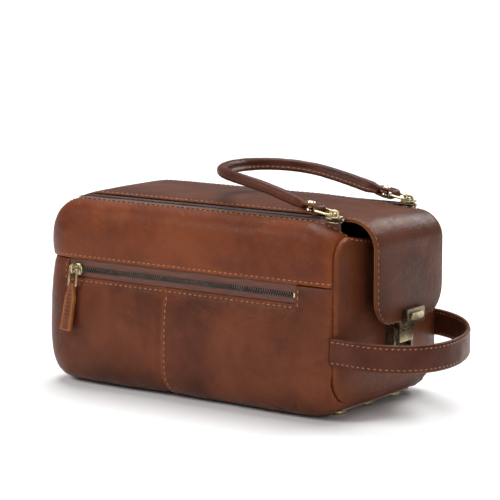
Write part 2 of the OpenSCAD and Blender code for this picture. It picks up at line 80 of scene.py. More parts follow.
ORIGIN = np.zeros(3)
SEAM_INSET = 1.0
front_low, front_high = corners("front_upper_panel")
back_high = corners("back_upper_panel")[1]
HALF_L = (front_high[0] - front_low[0] + SEAM_INSET) / 2
ORIGIN = np.array([front_low[0] + HALF_L, (front_low[1] + back_high[1]) / 2, 0.0]) * MM
HALF_W = (back_high[1] - front_low[1]) / 2
TOP = front_high[2]
SEAM_Z = front_low[2]
BASE_Z = corners("base_panel")[0][2]
RIGHT_X = HALF_L - SEAM_INSET
CENTRE_SEAM_X = corners("front_lower_left_panel")[1][0]
WINDOW_X0, WINDOW_X1 = corners("pocket_tape_upper")[0][0], corners("pocket_tape_upper")[1][0]
WINDOW_LOW = corners("pocket_tape_lower")[0][2]
COVER_LOW, COVER_HIGH = corners("top_cover")
SLIDER_ROOM = 2.1
COVER_HALF_W = COVER_HIGH[1] - SLIDER_ROOM
FLAP_LOW, FLAP_HIGH = corners("end_flap")
FLAP_HALF_W = FLAP_HIGH[1]
SEAM_DEPTH, LEFT_ROLL = 2.6, 1.6
BEND_R = 22.0
FLAP_X = FLAP_HIGH[0]
BEND_X = FLAP_X - BEND_R
BEND_Z = COVER_HIGH[2] - BEND_R
ZIP_Y = middle("back_slider")[1]
SLIDER_X = middle("back_slider")[0]

LEATHER_T = 1.8
R_BOTTOM = 22.0
R_TOP = 13.0
R_SHOULDER = 35.0
R_SIDE = 30.0
R_END = 18.0
PITCH = 4.6

# ---------------------------------------------------------------- shared maths


def ease(t):
    t = np.clip(t, 0, 1)
    return t * t * (3 - 2 * t)


def puff(distance, reach):
    """How far a stuffed panel has risen from a seam at this distance: 0 at the seam, 1 far away."""
    return 1 - np.exp(-np.maximum(distance, 0) / reach)


def roll(distance, radius):
    """How far a turned edge has rolled inwards at this distance from it."""
    near = np.clip(radius - distance, 0, radius)
    return radius - np.sqrt(radius * radius - near * near)


def lumps(points, scale, seed):
    """Smooth noise at points (any shape, last axis 3), about -1 to 1, with features of this size in mm."""
    flat = points.reshape(-1, 3) / scale + seed * 7.31
    values = [noise.noise(Vector(p)) for p in flat]
    return np.array(values).reshape(points.shape[:-1])


def steps(a, b, size):
    """Evenly spaced values from a to b, about this far apart."""
    return np.linspace(a, b, max(2, int(abs(b - a) / size) + 1))


def run(points):
    """Distance travelled along the second axis of a grid, or along a single line, of points."""
    gaps = np.linalg.norm(np.diff(points, axis=-2), axis=-1)
    return np.concatenate([np.zeros(gaps.shape[:-1] + (1,)), np.cumsum(gaps, axis=-1)], axis=-1)


def between(at, s, rows):
    """The vector at a distance along a line, from the vectors at the distances s."""
    return np.array([np.interp(at, s, rows[:, k]) for k in range(rows.shape[1])])


def unit(v):
    return v / np.maximum(np.linalg.norm(v, axis=-1, keepdims=True), 1e-9)


# ---------------------------------------------------------------- meshes


def world(x, y, z):
    """A place in bag coordinates, in the frame's metres."""
    return tuple(np.array([x, y, z]) * MM + ORIGIN)


def make(name, points, faces, material, wear=None, smooth=True, closed=False):
    """A mesh object from points in bag coordinates. A closed shape's faces are turned to look outwards."""
    mesh = bpy.data.meshes.new(name)
    mesh.from_pydata((np.asarray(points, float).reshape(-1, 3) * MM + ORIGIN).tolist(), [], faces)
    mesh.validate()
    if closed:
        shape = bmesh.new()
        shape.from_mesh(mesh)
        bmesh.ops.recalc_face_normals(shape, faces=shape.faces)
        shape.to_mesh(mesh)
        shape.free()
    mesh.polygons.foreach_set("use_smooth", [smooth] * len(mesh.polygons))
    if wear is not None:
        layer = mesh.attributes.new("wear", "FLOAT", "POINT")
        layer.data.foreach_set("value", np.asarray(wear, np.float32).ravel())
    mesh.materials.append(material)
    obj = bpy.data.objects.new(name, mesh)
    bpy.context.scene.collection.objects.link(obj)
    return obj


def grid_faces(rows, cols, close_cols=False, flip=False, keep=None):
    faces = []
    for i in range(rows - 1):
        for j in range(cols if close_cols else cols - 1):
            if keep is not None and not keep(i, j):
                continue
            k = (j + 1) % cols
            face = [i * cols + j, i * cols + k, (i + 1) * cols + k, (i + 1) * cols + j]
            faces.append(face[::-1] if flip else face)
    return faces


def thicken(obj, thickness, offset=-1.0, bevel=0.0):
    """Gives a sheet its leather thickness, and round edges."""
    solid = obj.modifiers.new("thickness", "SOLIDIFY")
    solid.thickness = thickness * MM
    solid.offset = offset
    solid.use_even_offset = False
    if bevel:
        round_edges(obj, bevel)
    return obj


def round_edges(obj, width, segments=2, angle=50):
    edge = obj.modifiers.new("edges", "BEVEL")
    edge.width = width * MM
    edge.segments = segments
    edge.limit_method = "ANGLE"
    edge.angle_limit = math.radians(angle)
    edge.harden_normals = False
    return obj


def finish_piece(obj, body, slot_name, *replaced):
    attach(obj, body)
    if replaced:
        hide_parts(*replaced)
    return obj


class Skin:
    """A grid of surface points with their outward normals, that stitches can be laid on."""

    CENTRE = np.array([0, 0, 70.0])

    def __init__(self, u, v, points):
        self.u, self.v, self.points = u, v, points
        du = np.gradient(points, axis=0)
        dv = np.gradient(points, axis=1)
        self.normals = unit(np.cross(du, dv))
        outward = (self.normals * (points - self.CENTRE)).sum(-1)
        self.flip = np.median(outward) < 0
        if self.flip:
            self.normals = -self.normals

    def push(self, amount):
        self.points = self.points + self.normals * amount[..., None]
        return self

    def at(self, u, v):
        """Point and normal at a place on the grid."""
        i = np.clip(np.searchsorted(self.u, u) - 1, 0, len(self.u) - 2)
        j = np.clip(np.searchsorted(self.v, v) - 1, 0, len(self.v) - 2)
        a = np.clip((u - self.u[i]) / (self.u[i + 1] - self.u[i]), 0, 1)
        b = np.clip((v - self.v[j]) / (self.v[j + 1] - self.v[j]), 0, 1)
        out = []
        for field in (self.points, self.normals):
            low = field[i, j] * (1 - a) + field[i + 1, j] * a
            high = field[i, j + 1] * (1 - a) + field[i + 1, j + 1] * a
            out.append(low * (1 - b) + high * b)
        return out[0], unit(out[1])

    def line(self, us, vs):
        """Points and normals at a row of places on the grid."""
        places = [self.at(u, v) for u, v in zip(*np.broadcast_arrays(us, vs))]
        return np.array([p for p, _ in places]), np.array([n for _, n in places])

    def mesh(self, name, material, wear=None, keep=None):
        faces = grid_faces(len(self.u), len(self.v), flip=not self.flip, keep=keep)
        return make(name, self.points, faces, material, wear)


def tube(name, path, sections, material, closed_ends=True, frames=None):
    """Sweeps cross-sections (one for each path point, in side and up directions) along a path."""
    path = np.asarray(path, float)
    tangent = unit(np.gradient(path, axis=0))
    side, up = frames(tangent) if frames else upright(tangent)
    rings = path[:, None] + sections[..., :1] * side[:, None] + sections[..., 1:] * up[:, None]
    count, sides = rings.shape[:2]
    faces = grid_faces(count, sides, close_cols=True)
    if closed_ends:
        faces.append(list(range(sides))[::-1])
        faces.append([(count - 1) * sides + k for k in range(sides)])
    return make(name, rings, faces, material)


def upright(tangent):
    side = unit(np.cross(tangent, np.array([0.0, 0.0, 1.0])))
    return side, unit(np.cross(side, tangent))


def ring_section(radius_side, radius_up, sides):
    a = np.linspace(0, 2 * math.pi, sides, endpoint=False)
    return np.stack([radius_side * np.cos(a), radius_up * np.sin(a)], -1)


def box_mesh(name, low, high, material, bevel=0.3, segments=2):
    """A rounded block between two corners."""
    x0, y0, z0 = low
    x1, y1, z1 = high
    points = [(x, y, z) for x in (x0, x1) for y in (y0, y1) for z in (z0, z1)]
    faces = [(0, 1, 3, 2), (4, 6, 7, 5), (0, 4, 5, 1), (2, 3, 7, 6), (0, 2, 6, 4), (1, 5, 7, 3)]
    obj = make(name, points, faces, material, smooth=True)
    if bevel:
        round_edges(obj, bevel, segments, 30)
    return obj


def join(name, objects):
    """One object from several."""
    depsgraph = bpy.context.evaluated_depsgraph_get()
    points, faces, smooth = [], [], []
    for obj in objects:
        mesh = obj.evaluated_get(depsgraph).to_mesh()
        start = len(points)
        points += [tuple(obj.matrix_world @ v.co) for v in mesh.vertices]
        faces += [[start + k for k in p.vertices] for p in mesh.polygons]
        smooth += [p.use_smooth for p in mesh.polygons]
    material = objects[0].data.materials[0]
    mesh = bpy.data.meshes.new(name)
    mesh.from_pydata(points, [], faces)
    mesh.polygons.foreach_set("use_smooth", smooth)
    mesh.materials.append(material)
    for obj in objects:
        bpy.data.objects.remove(obj)
    whole = bpy.data.objects.new(name, mesh)
    bpy.context.scene.collection.objects.link(whole)
    return whole


# ---------------------------------------------------------------- materials


class Nodes:
    """Short names for building a node material."""

    def __init__(self, name, roughness, metallic=0.0):
        self.material = bpy.data.materials.new(name)
        self.material.use_nodes = True
        self.tree = self.material.node_tree
        self.shader = self.tree.nodes["Principled BSDF"]
        self.shader.inputs["Roughness"].default_value = roughness
        self.shader.inputs["Metallic"].default_value = metallic
        self.coords = self.tree.nodes.new("ShaderNodeTexCoord").outputs["Object"]

    def link(self, a, b):
        self.tree.links.new(a, b)

    def noise(self, scale, detail=3.0, rough=0.5, distortion=0.0, stretch=None):
        node = self.tree.nodes.new("ShaderNodeTexNoise")
        node.inputs["Scale"].default_value = scale
        node.inputs["Detail"].default_value = detail
        node.inputs["Roughness"].default_value = rough
        node.inputs["Distortion"].default_value = distortion
        self.link(self.mapped(stretch), node.inputs["Vector"])
        return node.outputs["Fac"]

    def mapped(self, stretch):
        if stretch is None:
            return self.coords
        node = self.tree.nodes.new("ShaderNodeMapping")
        node.inputs["Scale"].default_value = stretch
        self.link(self.coords, node.inputs["Vector"])
        return node.outputs["Vector"]

    def cracks(self, scale, warp):
        """Cell borders, warped by noise: 0 on a border."""
        warping = self.tree.nodes.new("ShaderNodeTexNoise")
        warping.inputs["Scale"].default_value = scale * 0.35
        warping.inputs["Detail"].default_value = 2.0
        self.link(self.coords, warping.inputs["Vector"])
        shift = self.tree.nodes.new("ShaderNodeVectorMath")
        shift.operation = "SCALE"
        shift.inputs["Scale"].default_value = warp
        self.link(warping.outputs["Color"], shift.inputs[0])
        add = self.tree.nodes.new("ShaderNodeVectorMath")
        add.operation = "ADD"
        self.link(self.coords, add.inputs[0])
        self.link(shift.outputs["Vector"], add.inputs[1])
        node = self.tree.nodes.new("ShaderNodeTexVoronoi")
        node.feature = "DISTANCE_TO_EDGE"
        node.inputs["Scale"].default_value = scale
        self.link(add.outputs["Vector"], node.inputs["Vector"])
        return node.outputs["Distance"]

    def wave(self, scale, axis, distortion=0.0):
        node = self.tree.nodes.new("ShaderNodeTexWave")
        node.wave_type = "BANDS"
        node.bands_direction = axis
        node.inputs["Scale"].default_value = scale
        node.inputs["Distortion"].default_value = distortion
        self.link(self.coords, node.inputs["Vector"])
        return node.outputs["Fac"]

    def ramp(self, value, *stops):
        """Stops are (position, colour or grey)."""
        node = self.tree.nodes.new("ShaderNodeValToRGB")
        ramp = node.color_ramp
        while len(ramp.elements) < len(stops):
            ramp.elements.new(0.5)
        for element, (position, colour) in zip(ramp.elements, stops):
            element.position = position
            grey = isinstance(colour, (int, float))
            element.color = (colour, colour, colour, 1) if grey else (*colour, 1)
        self.link(value, node.inputs["Fac"])
        return node.outputs["Color"]

    def mix(self, factor, a, b, mode="MIX"):
        node = self.tree.nodes.new("ShaderNodeMix")
        node.data_type = "RGBA"
        node.blend_type = mode
        for socket, value in ((node.inputs["Factor"], factor), (node.inputs["A"], a), (node.inputs["B"], b)):
            if isinstance(value, bpy.types.NodeSocket):
                self.link(value, socket)
            elif isinstance(value, (int, float)):
                socket.default_value = value if socket.type == "VALUE" else (value, value, value, 1)
            else:
                socket.default_value = (*value, 1)
        return node.outputs["Result"]

    def attribute(self, name):
        node = self.tree.nodes.new("ShaderNodeAttribute")
        node.attribute_name = name
        return node.outputs["Fac"]

    def math(self, operation, a, b):
        node = self.tree.nodes.new("ShaderNodeMath")
        node.operation = operation
        for socket, value in zip(node.inputs, (a, b)):
            if isinstance(value, bpy.types.NodeSocket):
                self.link(value, socket)
            else:
                socket.default_value = value
        return node.outputs["Value"]

    def colour(self, value):
        self.link(value, self.shader.inputs["Base Color"])

    def rough(self, value):
        self.link(value, self.shader.inputs["Roughness"])

    def bump(self, height, strength, distance, under=None):
        node = self.tree.nodes.new("ShaderNodeBump")
        node.inputs["Strength"].default_value = strength
        node.inputs["Distance"].default_value = distance * MM
        self.link(height, node.inputs["Height"])
        if under is not None:
            self.link(under, node.inputs["Normal"])
        self.link(node.outputs["Normal"], self.shader.inputs["Normal"])
        return node.outputs["Normal"]


def leather(name, base, light, dark, roughness=0.42, grain=1.0, streak=None, coat=0.015):
    """Pull-up leather: cloudy colour, paler where it is stretched or folded, fine creases and pores."""
    n = Nodes(name, roughness)
    clouds = n.noise(16, 4, 0.55, 0.4, streak)
    patches = n.noise(55, 5, 0.6, 0.6, streak)
    body = n.ramp(clouds, (0.28, dark), (0.52, base), (0.8, light))
    body = n.mix(n.ramp(patches, (0.46, 0.0), (0.82, 0.4)), body, light)
    deep = n.ramp(n.noise(34, 3, 0.6, 0.6, streak), (0.28, 0.45), (0.5, 0.0))
    body = n.mix(deep, body, dark)
    fine = n.cracks(420, 0.004)
    wide = n.cracks(210, 0.03)
    veins = n.ramp(wide, (0.0, 1.0), (0.1, 0.0))
    mask = n.ramp(n.noise(28, 3, 0.6), (0.44, 0.0), (0.7, 0.32))
    body = n.mix(n.mix(veins, 0.0, mask, "MIX"), body, light)
    tinted = [min(1.0, c * k) for c, k in zip(light, (1.3, 1.2, 0.85))]
    worn = n.math("MULTIPLY", n.attribute("wear"), n.ramp(n.noise(90, 3), (0.25, 0.45), (0.7, 1.0)))
    n.colour(n.mix(worn, body, tinted))
    n.rough(n.ramp(n.noise(70, 4, 0.6), (0.3, roughness - 0.07), (0.75, roughness + 0.12)))
    under = n.bump(n.noise(1500, 3, 0.6), 0.14 * grain, 0.08)
    under = n.bump(n.ramp(fine, (0.0, 0.0), (0.09, 1.0)), 0.18 * grain, 0.12, under)
    under = n.bump(n.ramp(wide, (0.0, 0.0), (0.12, 1.0)), 0.3 * grain, 0.3, under)
    n.bump(n.noise(160, 4, 0.55), 0.3 * grain, 0.5, under)
    n.shader.inputs["Coat Weight"].default_value = coat
    n.shader.inputs["Coat Roughness"].default_value = 0.32
    n.shader.inputs["Specular IOR Level"].default_value = 0.11
    return n.material


def metal(name, bright, patina, roughness=0.3, spread=0.5):
    n = Nodes(name, roughness, 1.0)
    stain = n.ramp(n.noise(110, 2, 0.45, 0.3), (0.3, 0.0), (0.3 + spread * 0.7, 1.0))
    n.colour(n.mix(stain, patina, bright))
    n.rough(n.ramp(n.noise(900, 3), (0.3, roughness - 0.08), (0.75, roughness + 0.18)))
    n.bump(n.noise(2600, 3), 0.1, 0.05)
    return n.material


def cloth(name, colour, dark, scale, roughness=0.85, strength=0.5):
    """Woven cloth: two crossed sets of threads."""
    n = Nodes(name, roughness)
    warp = n.wave(scale, "X", 0.3)
    weft = n.math("MAXIMUM", n.wave(scale, "Y", 0.3), n.wave(scale, "Z", 0.3))
    weave = n.math("MULTIPLY", warp, weft)
    n.colour(n.mix(n.ramp(weave, (0.1, 0.0), (0.6, 1.0)), dark, colour))
    n.bump(weave, strength, 0.15)
    n.shader.inputs["Sheen Weight"].default_value = 0.25
    return n.material


def thread(name, colour, dark):
    n = Nodes(name, 0.55)
    n.colour(n.mix(n.ramp(n.noise(700, 3), (0.35, 0.0), (0.65, 1.0)), dark, colour))
    n.bump(n.wave(900, "DIAGONAL", 0.6), 0.5, 0.1)
    return n.material


def moulded(name, colour, roughness):
    n = Nodes(name, roughness)
    n.colour(n.ramp(n.noise(300, 3), (0.3, [c * 0.7 for c in colour]), (0.7, colour)))
    n.bump(n.noise(1800, 2), 0.12, 0.05)
    return n.material


PANEL = leather("panel_leather", (0.136, 0.0315, 0.01), (0.205, 0.052, 0.017), (0.075, 0.0175, 0.0075), 0.38)
# painted shade: the lower panels, the base and the closed end get a darker copy of the panel leather,
# standing in for the shade low on the bag
LOWER_SHADED_LEATHER = leather("lower_panel_painted_shade_leather", (0.1, 0.0265, 0.011), (0.165, 0.046, 0.019),
                (0.052, 0.0145, 0.0075), 0.38)
# painted shade: the open end's panel gets a still darker copy of the panel leather, standing in for the shade
# low on that end
END_SHADED_LEATHER = leather("end_panel_painted_shade_leather", (0.092, 0.0245, 0.0095), (0.15, 0.042, 0.016),
              (0.045, 0.0125, 0.0065), 0.38)
COVER = leather("cover_leather", (0.085, 0.0245, 0.0115), (0.135, 0.04, 0.0175), (0.045, 0.0135, 0.0075),
                0.36, 0.8, streak=(0.45, 1.0, 1.0))
FACING = leather("facing_leather", (0.15, 0.05, 0.022), (0.24, 0.085, 0.036), (0.09, 0.028, 0.014),
                 0.6, 1.0, coat=0.0)
STRAP = leather("strap_leather", (0.075, 0.02, 0.0105), (0.12, 0.034, 0.016), (0.038, 0.011, 0.007),
                0.33, 0.8)
TAB = leather("tab_leather", (0.11, 0.033, 0.016), (0.27, 0.1, 0.042), (0.05, 0.015, 0.009), 0.42)
THREAD = thread("golden_thread", (0.4, 0.19, 0.072), (0.22, 0.095, 0.034))
DARK_THREAD = thread("brown_thread", (0.3, 0.125, 0.045), (0.14, 0.05, 0.02))
SEAM_THREAD = moulded("dark_thread", (0.09, 0.035, 0.016), 0.7)
BRASS = metal("antique_brass", (0.62, 0.53, 0.33), (0.3, 0.23, 0.12), 0.27)
DARK_BRASS = metal("dark_brass", (0.24, 0.2, 0.13), (0.09, 0.07, 0.045), 0.3)
PALE_BRASS = metal("pale_brass", (0.86, 0.78, 0.55), (0.6, 0.52, 0.33), 0.18, 0.3)
TEETH = metal("tooth_metal", (0.16, 0.13, 0.115), (0.07, 0.055, 0.047), 0.36)
COIL = moulded("coil_nylon", (0.03, 0.018, 0.014), 0.4)
TAPE = cloth("zip_tape", (0.17, 0.052, 0.026), (0.07, 0.022, 0.012), 1500)
LINING = cloth("lining_cloth", (0.012, 0.014, 0.021), (0.004, 0.004, 0.007), 1300, 0.7)
BOARD = moulded("board", (0.4, 0.3, 0.2), 0.8)
SPRING_STEEL = metal("spring_steel", (0.6, 0.6, 0.6), (0.3, 0.3, 0.3), 0.3)

# ---------------------------------------------------------------- the bag's body


def outline(x):
    """For places along the bag: half width, top and bottom height, top corner radius, and the top edge's
    distance from the middle."""
    side = np.clip(-HALF_L + R_SIDE - x, 0, R_SIDE)
    half = HALF_W - R_SIDE + np.sqrt(R_SIDE ** 2 - side ** 2)
    shoulder = np.clip(-HALF_L + R_SHOULDER - x, 0, R_SHOULDER)
    top = TOP - R_SHOULDER + np.sqrt(R_SHOULDER ** 2 - shoulder ** 2)
    end = np.clip(-HALF_L + R_END - x, 0, R_END)
    bottom = BASE_Z + R_END - np.sqrt(R_END ** 2 - end ** 2)
    # the open end: the top edge slants down and inwards, and the base curls up
    slant = np.clip((x - 108) / (RIGHT_X - 108), 0, 1)
    top = top - 10.5 * slant ** 1.5
    curl = np.clip((x - (RIGHT_X - 20)) / 20, 0, 1)
    bottom = bottom + 11 * (1 - np.sqrt(1 - 0.985 * curl ** 2))
    r_top = R_TOP + 5 * slant
    edge = half - r_top - 7.5 * slant ** 1.4
    return half, top, bottom, r_top, edge


def section(x, v):
    """Distance from the middle, and height, at place v round the profile: 0 to 1 along the top edge, 1 to 2
    round the top corner, 2 to 3 down to the seam, 3 to 4 down to the bottom corner, 4 to 5 round it, and
    5 to 6 underneath."""
    half, top, bottom, r_top, edge = outline(x)
    part = [np.clip(v - k, 0, 1) for k in range(6)]
    a = part[1] * math.pi / 2
    b = part[4] * math.pi / 2
    y = edge + (half - r_top - edge) * part[0] + r_top * np.sin(a) - R_BOTTOM * (1 - np.cos(b))
    y = y - (half - R_BOTTOM) * part[5]
    z = top - r_top * (1 - np.cos(a)) - (top - r_top - SEAM_Z) * part[2]
    z = z - (SEAM_Z - bottom - R_BOTTOM) * part[3] - R_BOTTOM * np.sin(b)
    return y, z


def body_grid(x, v, side):
    xx, vv = np.meshgrid(x, v, indexing="ij")
    y, z = section(xx, vv)
    points = np.stack([xx, side * y, z], -1)
    return Skin(x, v, points), xx, run(points)


def end_spaced(extra=()):
    """Places along the bag: close together round the left end, then even."""
    a = np.linspace(0, math.pi / 2, 22)
    left = -HALF_L + R_SIDE * (1 - np.cos(a[1:] * 0.999))
    x = np.concatenate([[-HALF_L], left, steps(left[-1] + 1.7, RIGHT_X, 1.7)])
    tight = RIGHT_X - np.array([0.35, 0.8, 1.3])
    return np.unique(np.round(np.concatenate([x, tight, np.array(extra, float)]), 4))


def left_distance(x):
    """Distance along the surface from the left end seam."""
    a = np.arccos(np.clip(1 - (x + HALF_L) / R_SIDE, -1, 1))
    return np.where(x < -HALF_L + R_SIDE, R_SIDE * a, R_SIDE * math.pi / 2 + x + HALF_L - R_SIDE)


def puckers(skin, distance, seed, reach=6.0, height=0.32):
    """Small gathers that run away from a seam."""
    p = skin.points
    along = p[..., 0] + 1.7 * p[..., 1]
    wave = np.sin(along * 2 * math.pi / 8.3 + 3 * lumps(p, 24, seed))
    return height * wave * np.exp(-distance / reach) * (0.5 + 0.5 * lumps(p, 40, seed + 3))


def creases(skin, seed):
    """Slack in the leather: soft hollows, and a few long shallow folds."""
    p = skin.points
    soft = 1.1 * lumps(p, 52, seed) + 0.45 * lumps(p, 21, seed + 1)
    tilt = p @ np.array([[0.8, 0.3, 0.5], [0.0, 1.0, 0.0], [-0.55, 0.2, 0.8]])
    tilt[..., 0] *= 0.28
    fold = np.abs(lumps(tilt, 11, seed + 2))
    return soft - 0.75 * np.exp(-fold / 0.07) * ease(lumps(p, 60, seed + 5) * 1.5 + 0.3)


def panel(skin, name, material, wear, *replaced, keep=None):
    """One of the body's leather panels."""
    obj = skin.mesh(name, material, np.clip(wear, 0, 1), keep)
    if keep:
        drop_loose(obj)
    thicken(obj, LEATHER_T)
    return finish_piece(obj, "body", "panel_leather", *replaced)


def upper_panel(name, side, seed, *replaced):
    x = end_spaced()
    v = np.concatenate([[0.0, 0.5], np.linspace(1, 2, 13), 2 + np.linspace(0, 1, 26)[1:-1], [2.985, 3.0]])
    skin, xx, along = body_grid(x, v, side)
    to_top, to_seam = along, along[:, -1:] - along
    left, right = left_distance(xx), RIGHT_X - xx
    rise = 4.2 * ease((to_top - 3) / 30) * puff(to_seam, 9) * puff(right, 10) * puff(left + 8, 26)
    rise += 0.9 * np.exp(-to_seam / 12) - 0.5 * np.exp(-((to_seam - 2.9) / 1.1) ** 2)
    rise -= 0.4 * np.exp(-((to_top - 2.6) / 1.0) ** 2)
    rise -= roll(right, SEAM_DEPTH) + roll(to_seam, 0.7) + roll(to_top, 0.8) + roll(left, LEFT_ROLL)
    free = puff(to_seam, 10) * puff(to_top, 8) * puff(right, 6)
    rise += creases(skin, seed) * free
    rise += puckers(skin, to_seam, seed) + puckers(skin, to_top, seed + 4)
    rise += puckers(skin, right, seed + 9, 8, 0.5)
    skin.push(rise)
    wear = 0.85 * np.exp(-to_seam / 1.6) + 0.7 * np.exp(-to_top / 1.6) + 0.75 * np.exp(-right / 2.2)
    panel(skin, name, PANEL, wear + 0.25 * np.exp(-left / 9), *replaced)
    return skin


def seam_share(skin):
    """How much of the open end's roll is still wanted where the leather already turns towards that end."""
    return 1 - np.clip(skin.normals[..., 0], 0, 1)


def lower_rise(skin, xx, along, seam_at, seed, window):
    """How far a lower panel stands out, and how worn it is."""
    to_seam = np.abs(along - seam_at)
    to_base = along[:, -1:] - along
    left, right = left_distance(xx), RIGHT_X - xx
    z = skin.points[..., 2]
    if window:
        dx = np.maximum(np.maximum(WINDOW_X0 - xx, xx - WINDOW_X1), 0)
        dz = np.maximum(np.maximum(WINDOW_LOW - z, z - SEAM_Z), 0)
        to_edge = np.minimum(np.hypot(dx, dz), to_seam + 30 * (dx == 0))
    else:
        to_edge = to_seam
    rise_in = 1.1 * np.exp(-to_seam / 5)
    belly = puff(to_edge, 13) * puff(to_base + 14, 20) * puff(right, 11) * puff(left + 8, 30)
    rise = 6.0 * belly * (1 - 0.35 * ease((60 - z) / -40)) - rise_in
    rise -= roll(right, SEAM_DEPTH) * seam_share(skin) + roll(left, LEFT_ROLL)
    rise -= roll(to_base, 1.0) + roll(to_edge, 0.9)
    rise -= 0.45 * np.exp(-((to_edge - 2.7) / 1.0) ** 2)
    slack = 1 + 1.3 * np.exp(-right / 34) + 0.8 * np.exp(-to_base / 30)
    rise += slack * creases(skin, seed) * puff(to_edge, 10) * puff(right, 6) * puff(to_base, 6)
    rise += puckers(skin, to_edge, seed) + puckers(skin, right, seed + 9, 9, 0.6)
    rise += puckers(skin, to_base, seed + 11, 9, 0.5)
    wear = 0.8 * np.exp(-to_edge / 1.5) + 0.75 * np.exp(-right / 2.2) + 0.5 * np.exp(-to_base / 1.6)
    return rise, wear


BASE_V = 4.8
FLAT_HEIGHT = SEAM_Z - BASE_Z - R_BOTTOM
WINDOW_V = 3 + (SEAM_Z - WINDOW_LOW) / FLAT_HEIGHT


def lower_v():
    bottom = 4 + np.linspace(0, BASE_V - 4, 16)[1:]
    return np.concatenate([3 + np.linspace(0, 1, 44), bottom[:-1], [BASE_V - 0.012, BASE_V]])


def front_lower_panels():
    edges = [WINDOW_X0, WINDOW_X1, WINDOW_X0 - 0.4, WINDOW_X1 + 0.4, CENTRE_SEAM_X, CENTRE_SEAM_X - 0.6,
             CENTRE_SEAM_X + 0.5, CENTRE_SEAM_X + 1.4]
    x = end_spaced(edges)
    vw = WINDOW_V
    v = np.unique(np.round(np.concatenate([lower_v(), [vw, vw + 0.006, vw + 0.014]]), 5))
    skin, xx, along = body_grid(x, v, -1)
    rise, wear = lower_rise(skin, xx, along, 0, 21, True)
    below = v[None] > vw - 1e-6
    off = xx - CENTRE_SEAM_X
    # the right panel laps over the left one, and both are drawn in along the stitches
    lap = 0.8 * np.exp(-np.maximum(off, 0) / 9) * (off >= 0)
    rise += below * (lap - 0.7 * np.exp(-((off + 2.2) / 1.6) ** 2))
    rise -= below * 1.2 * np.exp(-(off / 16) ** 2) * puff(along, 20)
    wear = wear + below * 0.9 * np.exp(-np.abs(off - 0.7) / 0.9)
    skin.push(rise)
    skin.points[..., 2] = np.maximum(skin.points[..., 2], 0.6)

    def inside(i, j):
        return WINDOW_X0 - 1e-3 <= x[i] and x[i + 1] <= WINDOW_X1 + 1e-3 and v[j + 1] <= vw + 1e-3

    split = np.searchsorted(x, CENTRE_SEAM_X - 1e-3)
    panel(skin, "front_lower_left_leather", LOWER_SHADED_LEATHER, wear, "front_lower_left_panel",
          keep=lambda i, j: i < split and not inside(i, j))
    panel(skin, "front_lower_right_leather", LOWER_SHADED_LEATHER, wear, "front_lower_right_panel",
          keep=lambda i, j: i >= split and not inside(i, j))
    return skin


def drop_loose(obj):
    """Removes points that no face uses."""
    mesh = obj.data
    used = sorted({k for p in mesh.polygons for k in p.vertices})
    place = {k: i for i, k in enumerate(used)}
    points = [tuple(mesh.vertices[k].co) for k in used]
    faces = [[place[k] for k in p.vertices] for p in mesh.polygons]
    worn = [mesh.attributes["wear"].data[k].value for k in used]
    fresh = bpy.data.meshes.new(obj.name)
    fresh.from_pydata(points, [], faces)
    fresh.polygons.foreach_set("use_smooth", [True] * len(faces))
    fresh.attributes.new("wear", "FLOAT", "POINT").data.foreach_set("value", worn)
    fresh.materials.append(mesh.materials[0])
    obj.data = fresh


def back_lower_panel():
    x = end_spaced()
    skin, xx, along = body_grid(x, lower_v(), 1)
    rise, wear = lower_rise(skin, xx, along, 0, 33, False)
    skin.push(rise)
    skin.points[..., 2] = np.maximum(skin.points[..., 2], 0.6)
    panel(skin, "back_lower_leather", LOWER_SHADED_LEATHER, wear, "back_lower_panel")
    return skin


def base_leather():
    x = end_spaced()
    v = np.concatenate([np.linspace(BASE_V, 5, 5), 5 + np.linspace(0, 1, 20)[1:]])
    xx, vv = np.meshgrid(x, np.concatenate([v, v[::-1][1:]]), indexing="ij")
    y, z = section(xx, vv)
    y[:, len(v):] *= -1
    skin = Skin(x, np.linspace(-1, 1, xx.shape[1]), np.stack([xx, -y, z], -1))
    along = run(skin.points)
    near = np.minimum(along, along[:, -1:] - along)
    rise = 0.8 * puff(near, 14) * puff(RIGHT_X - xx, 8) - roll(near, 1.0)
    rise -= roll(RIGHT_X - xx, SEAM_DEPTH) * seam_share(skin) + roll(left_distance(xx), LEFT_ROLL)
    skin.push(rise + 0.35 * creases(skin, 51) * puff(near, 8))
    skin.points[..., 2] = np.maximum(skin.points[..., 2], 1.4)
    panel(skin, "base_leather", LOWER_SHADED_LEATHER, 0.5 * np.exp(-near / 1.5), "base_panel")


END_COLS = 61
TURN_IN = 5.0


def end_rows(x, vs):
    """Rows from the front edge to the back edge of an end panel, one for each place round the profile."""
    t = np.sin(np.linspace(-1, 1, END_COLS) * math.pi / 2)
    y, z = section(np.full(len(vs), float(x)), vs)
    points = np.zeros((len(vs), END_COLS, 3))
    points[..., 0] = x
    points[..., 1] = y[:, None] * t
    points[..., 2] = z[:, None]
    return points, t, y, z


def turn_in(skin, wear, inward):
    """Adds a seam allowance, turned in behind the other panels, at an end panel's bottom and side edges."""
    edges = ((1, 0), (1, 1), (0, 0))
    points = np.pad(skin.points, edges, mode="edge")
    inward = np.pad(np.broadcast_to(inward, skin.points.shape), edges, mode="edge")
    points[0] -= inward[0]
    points[:, [0, -1]] -= inward[:, [0, -1]]
    across = np.concatenate([[-1.1], skin.v, [1.1]])
    wear = np.pad(wear, edges[:2], mode="edge")
    return Skin(np.arange(len(points), dtype=float), across, points), wear


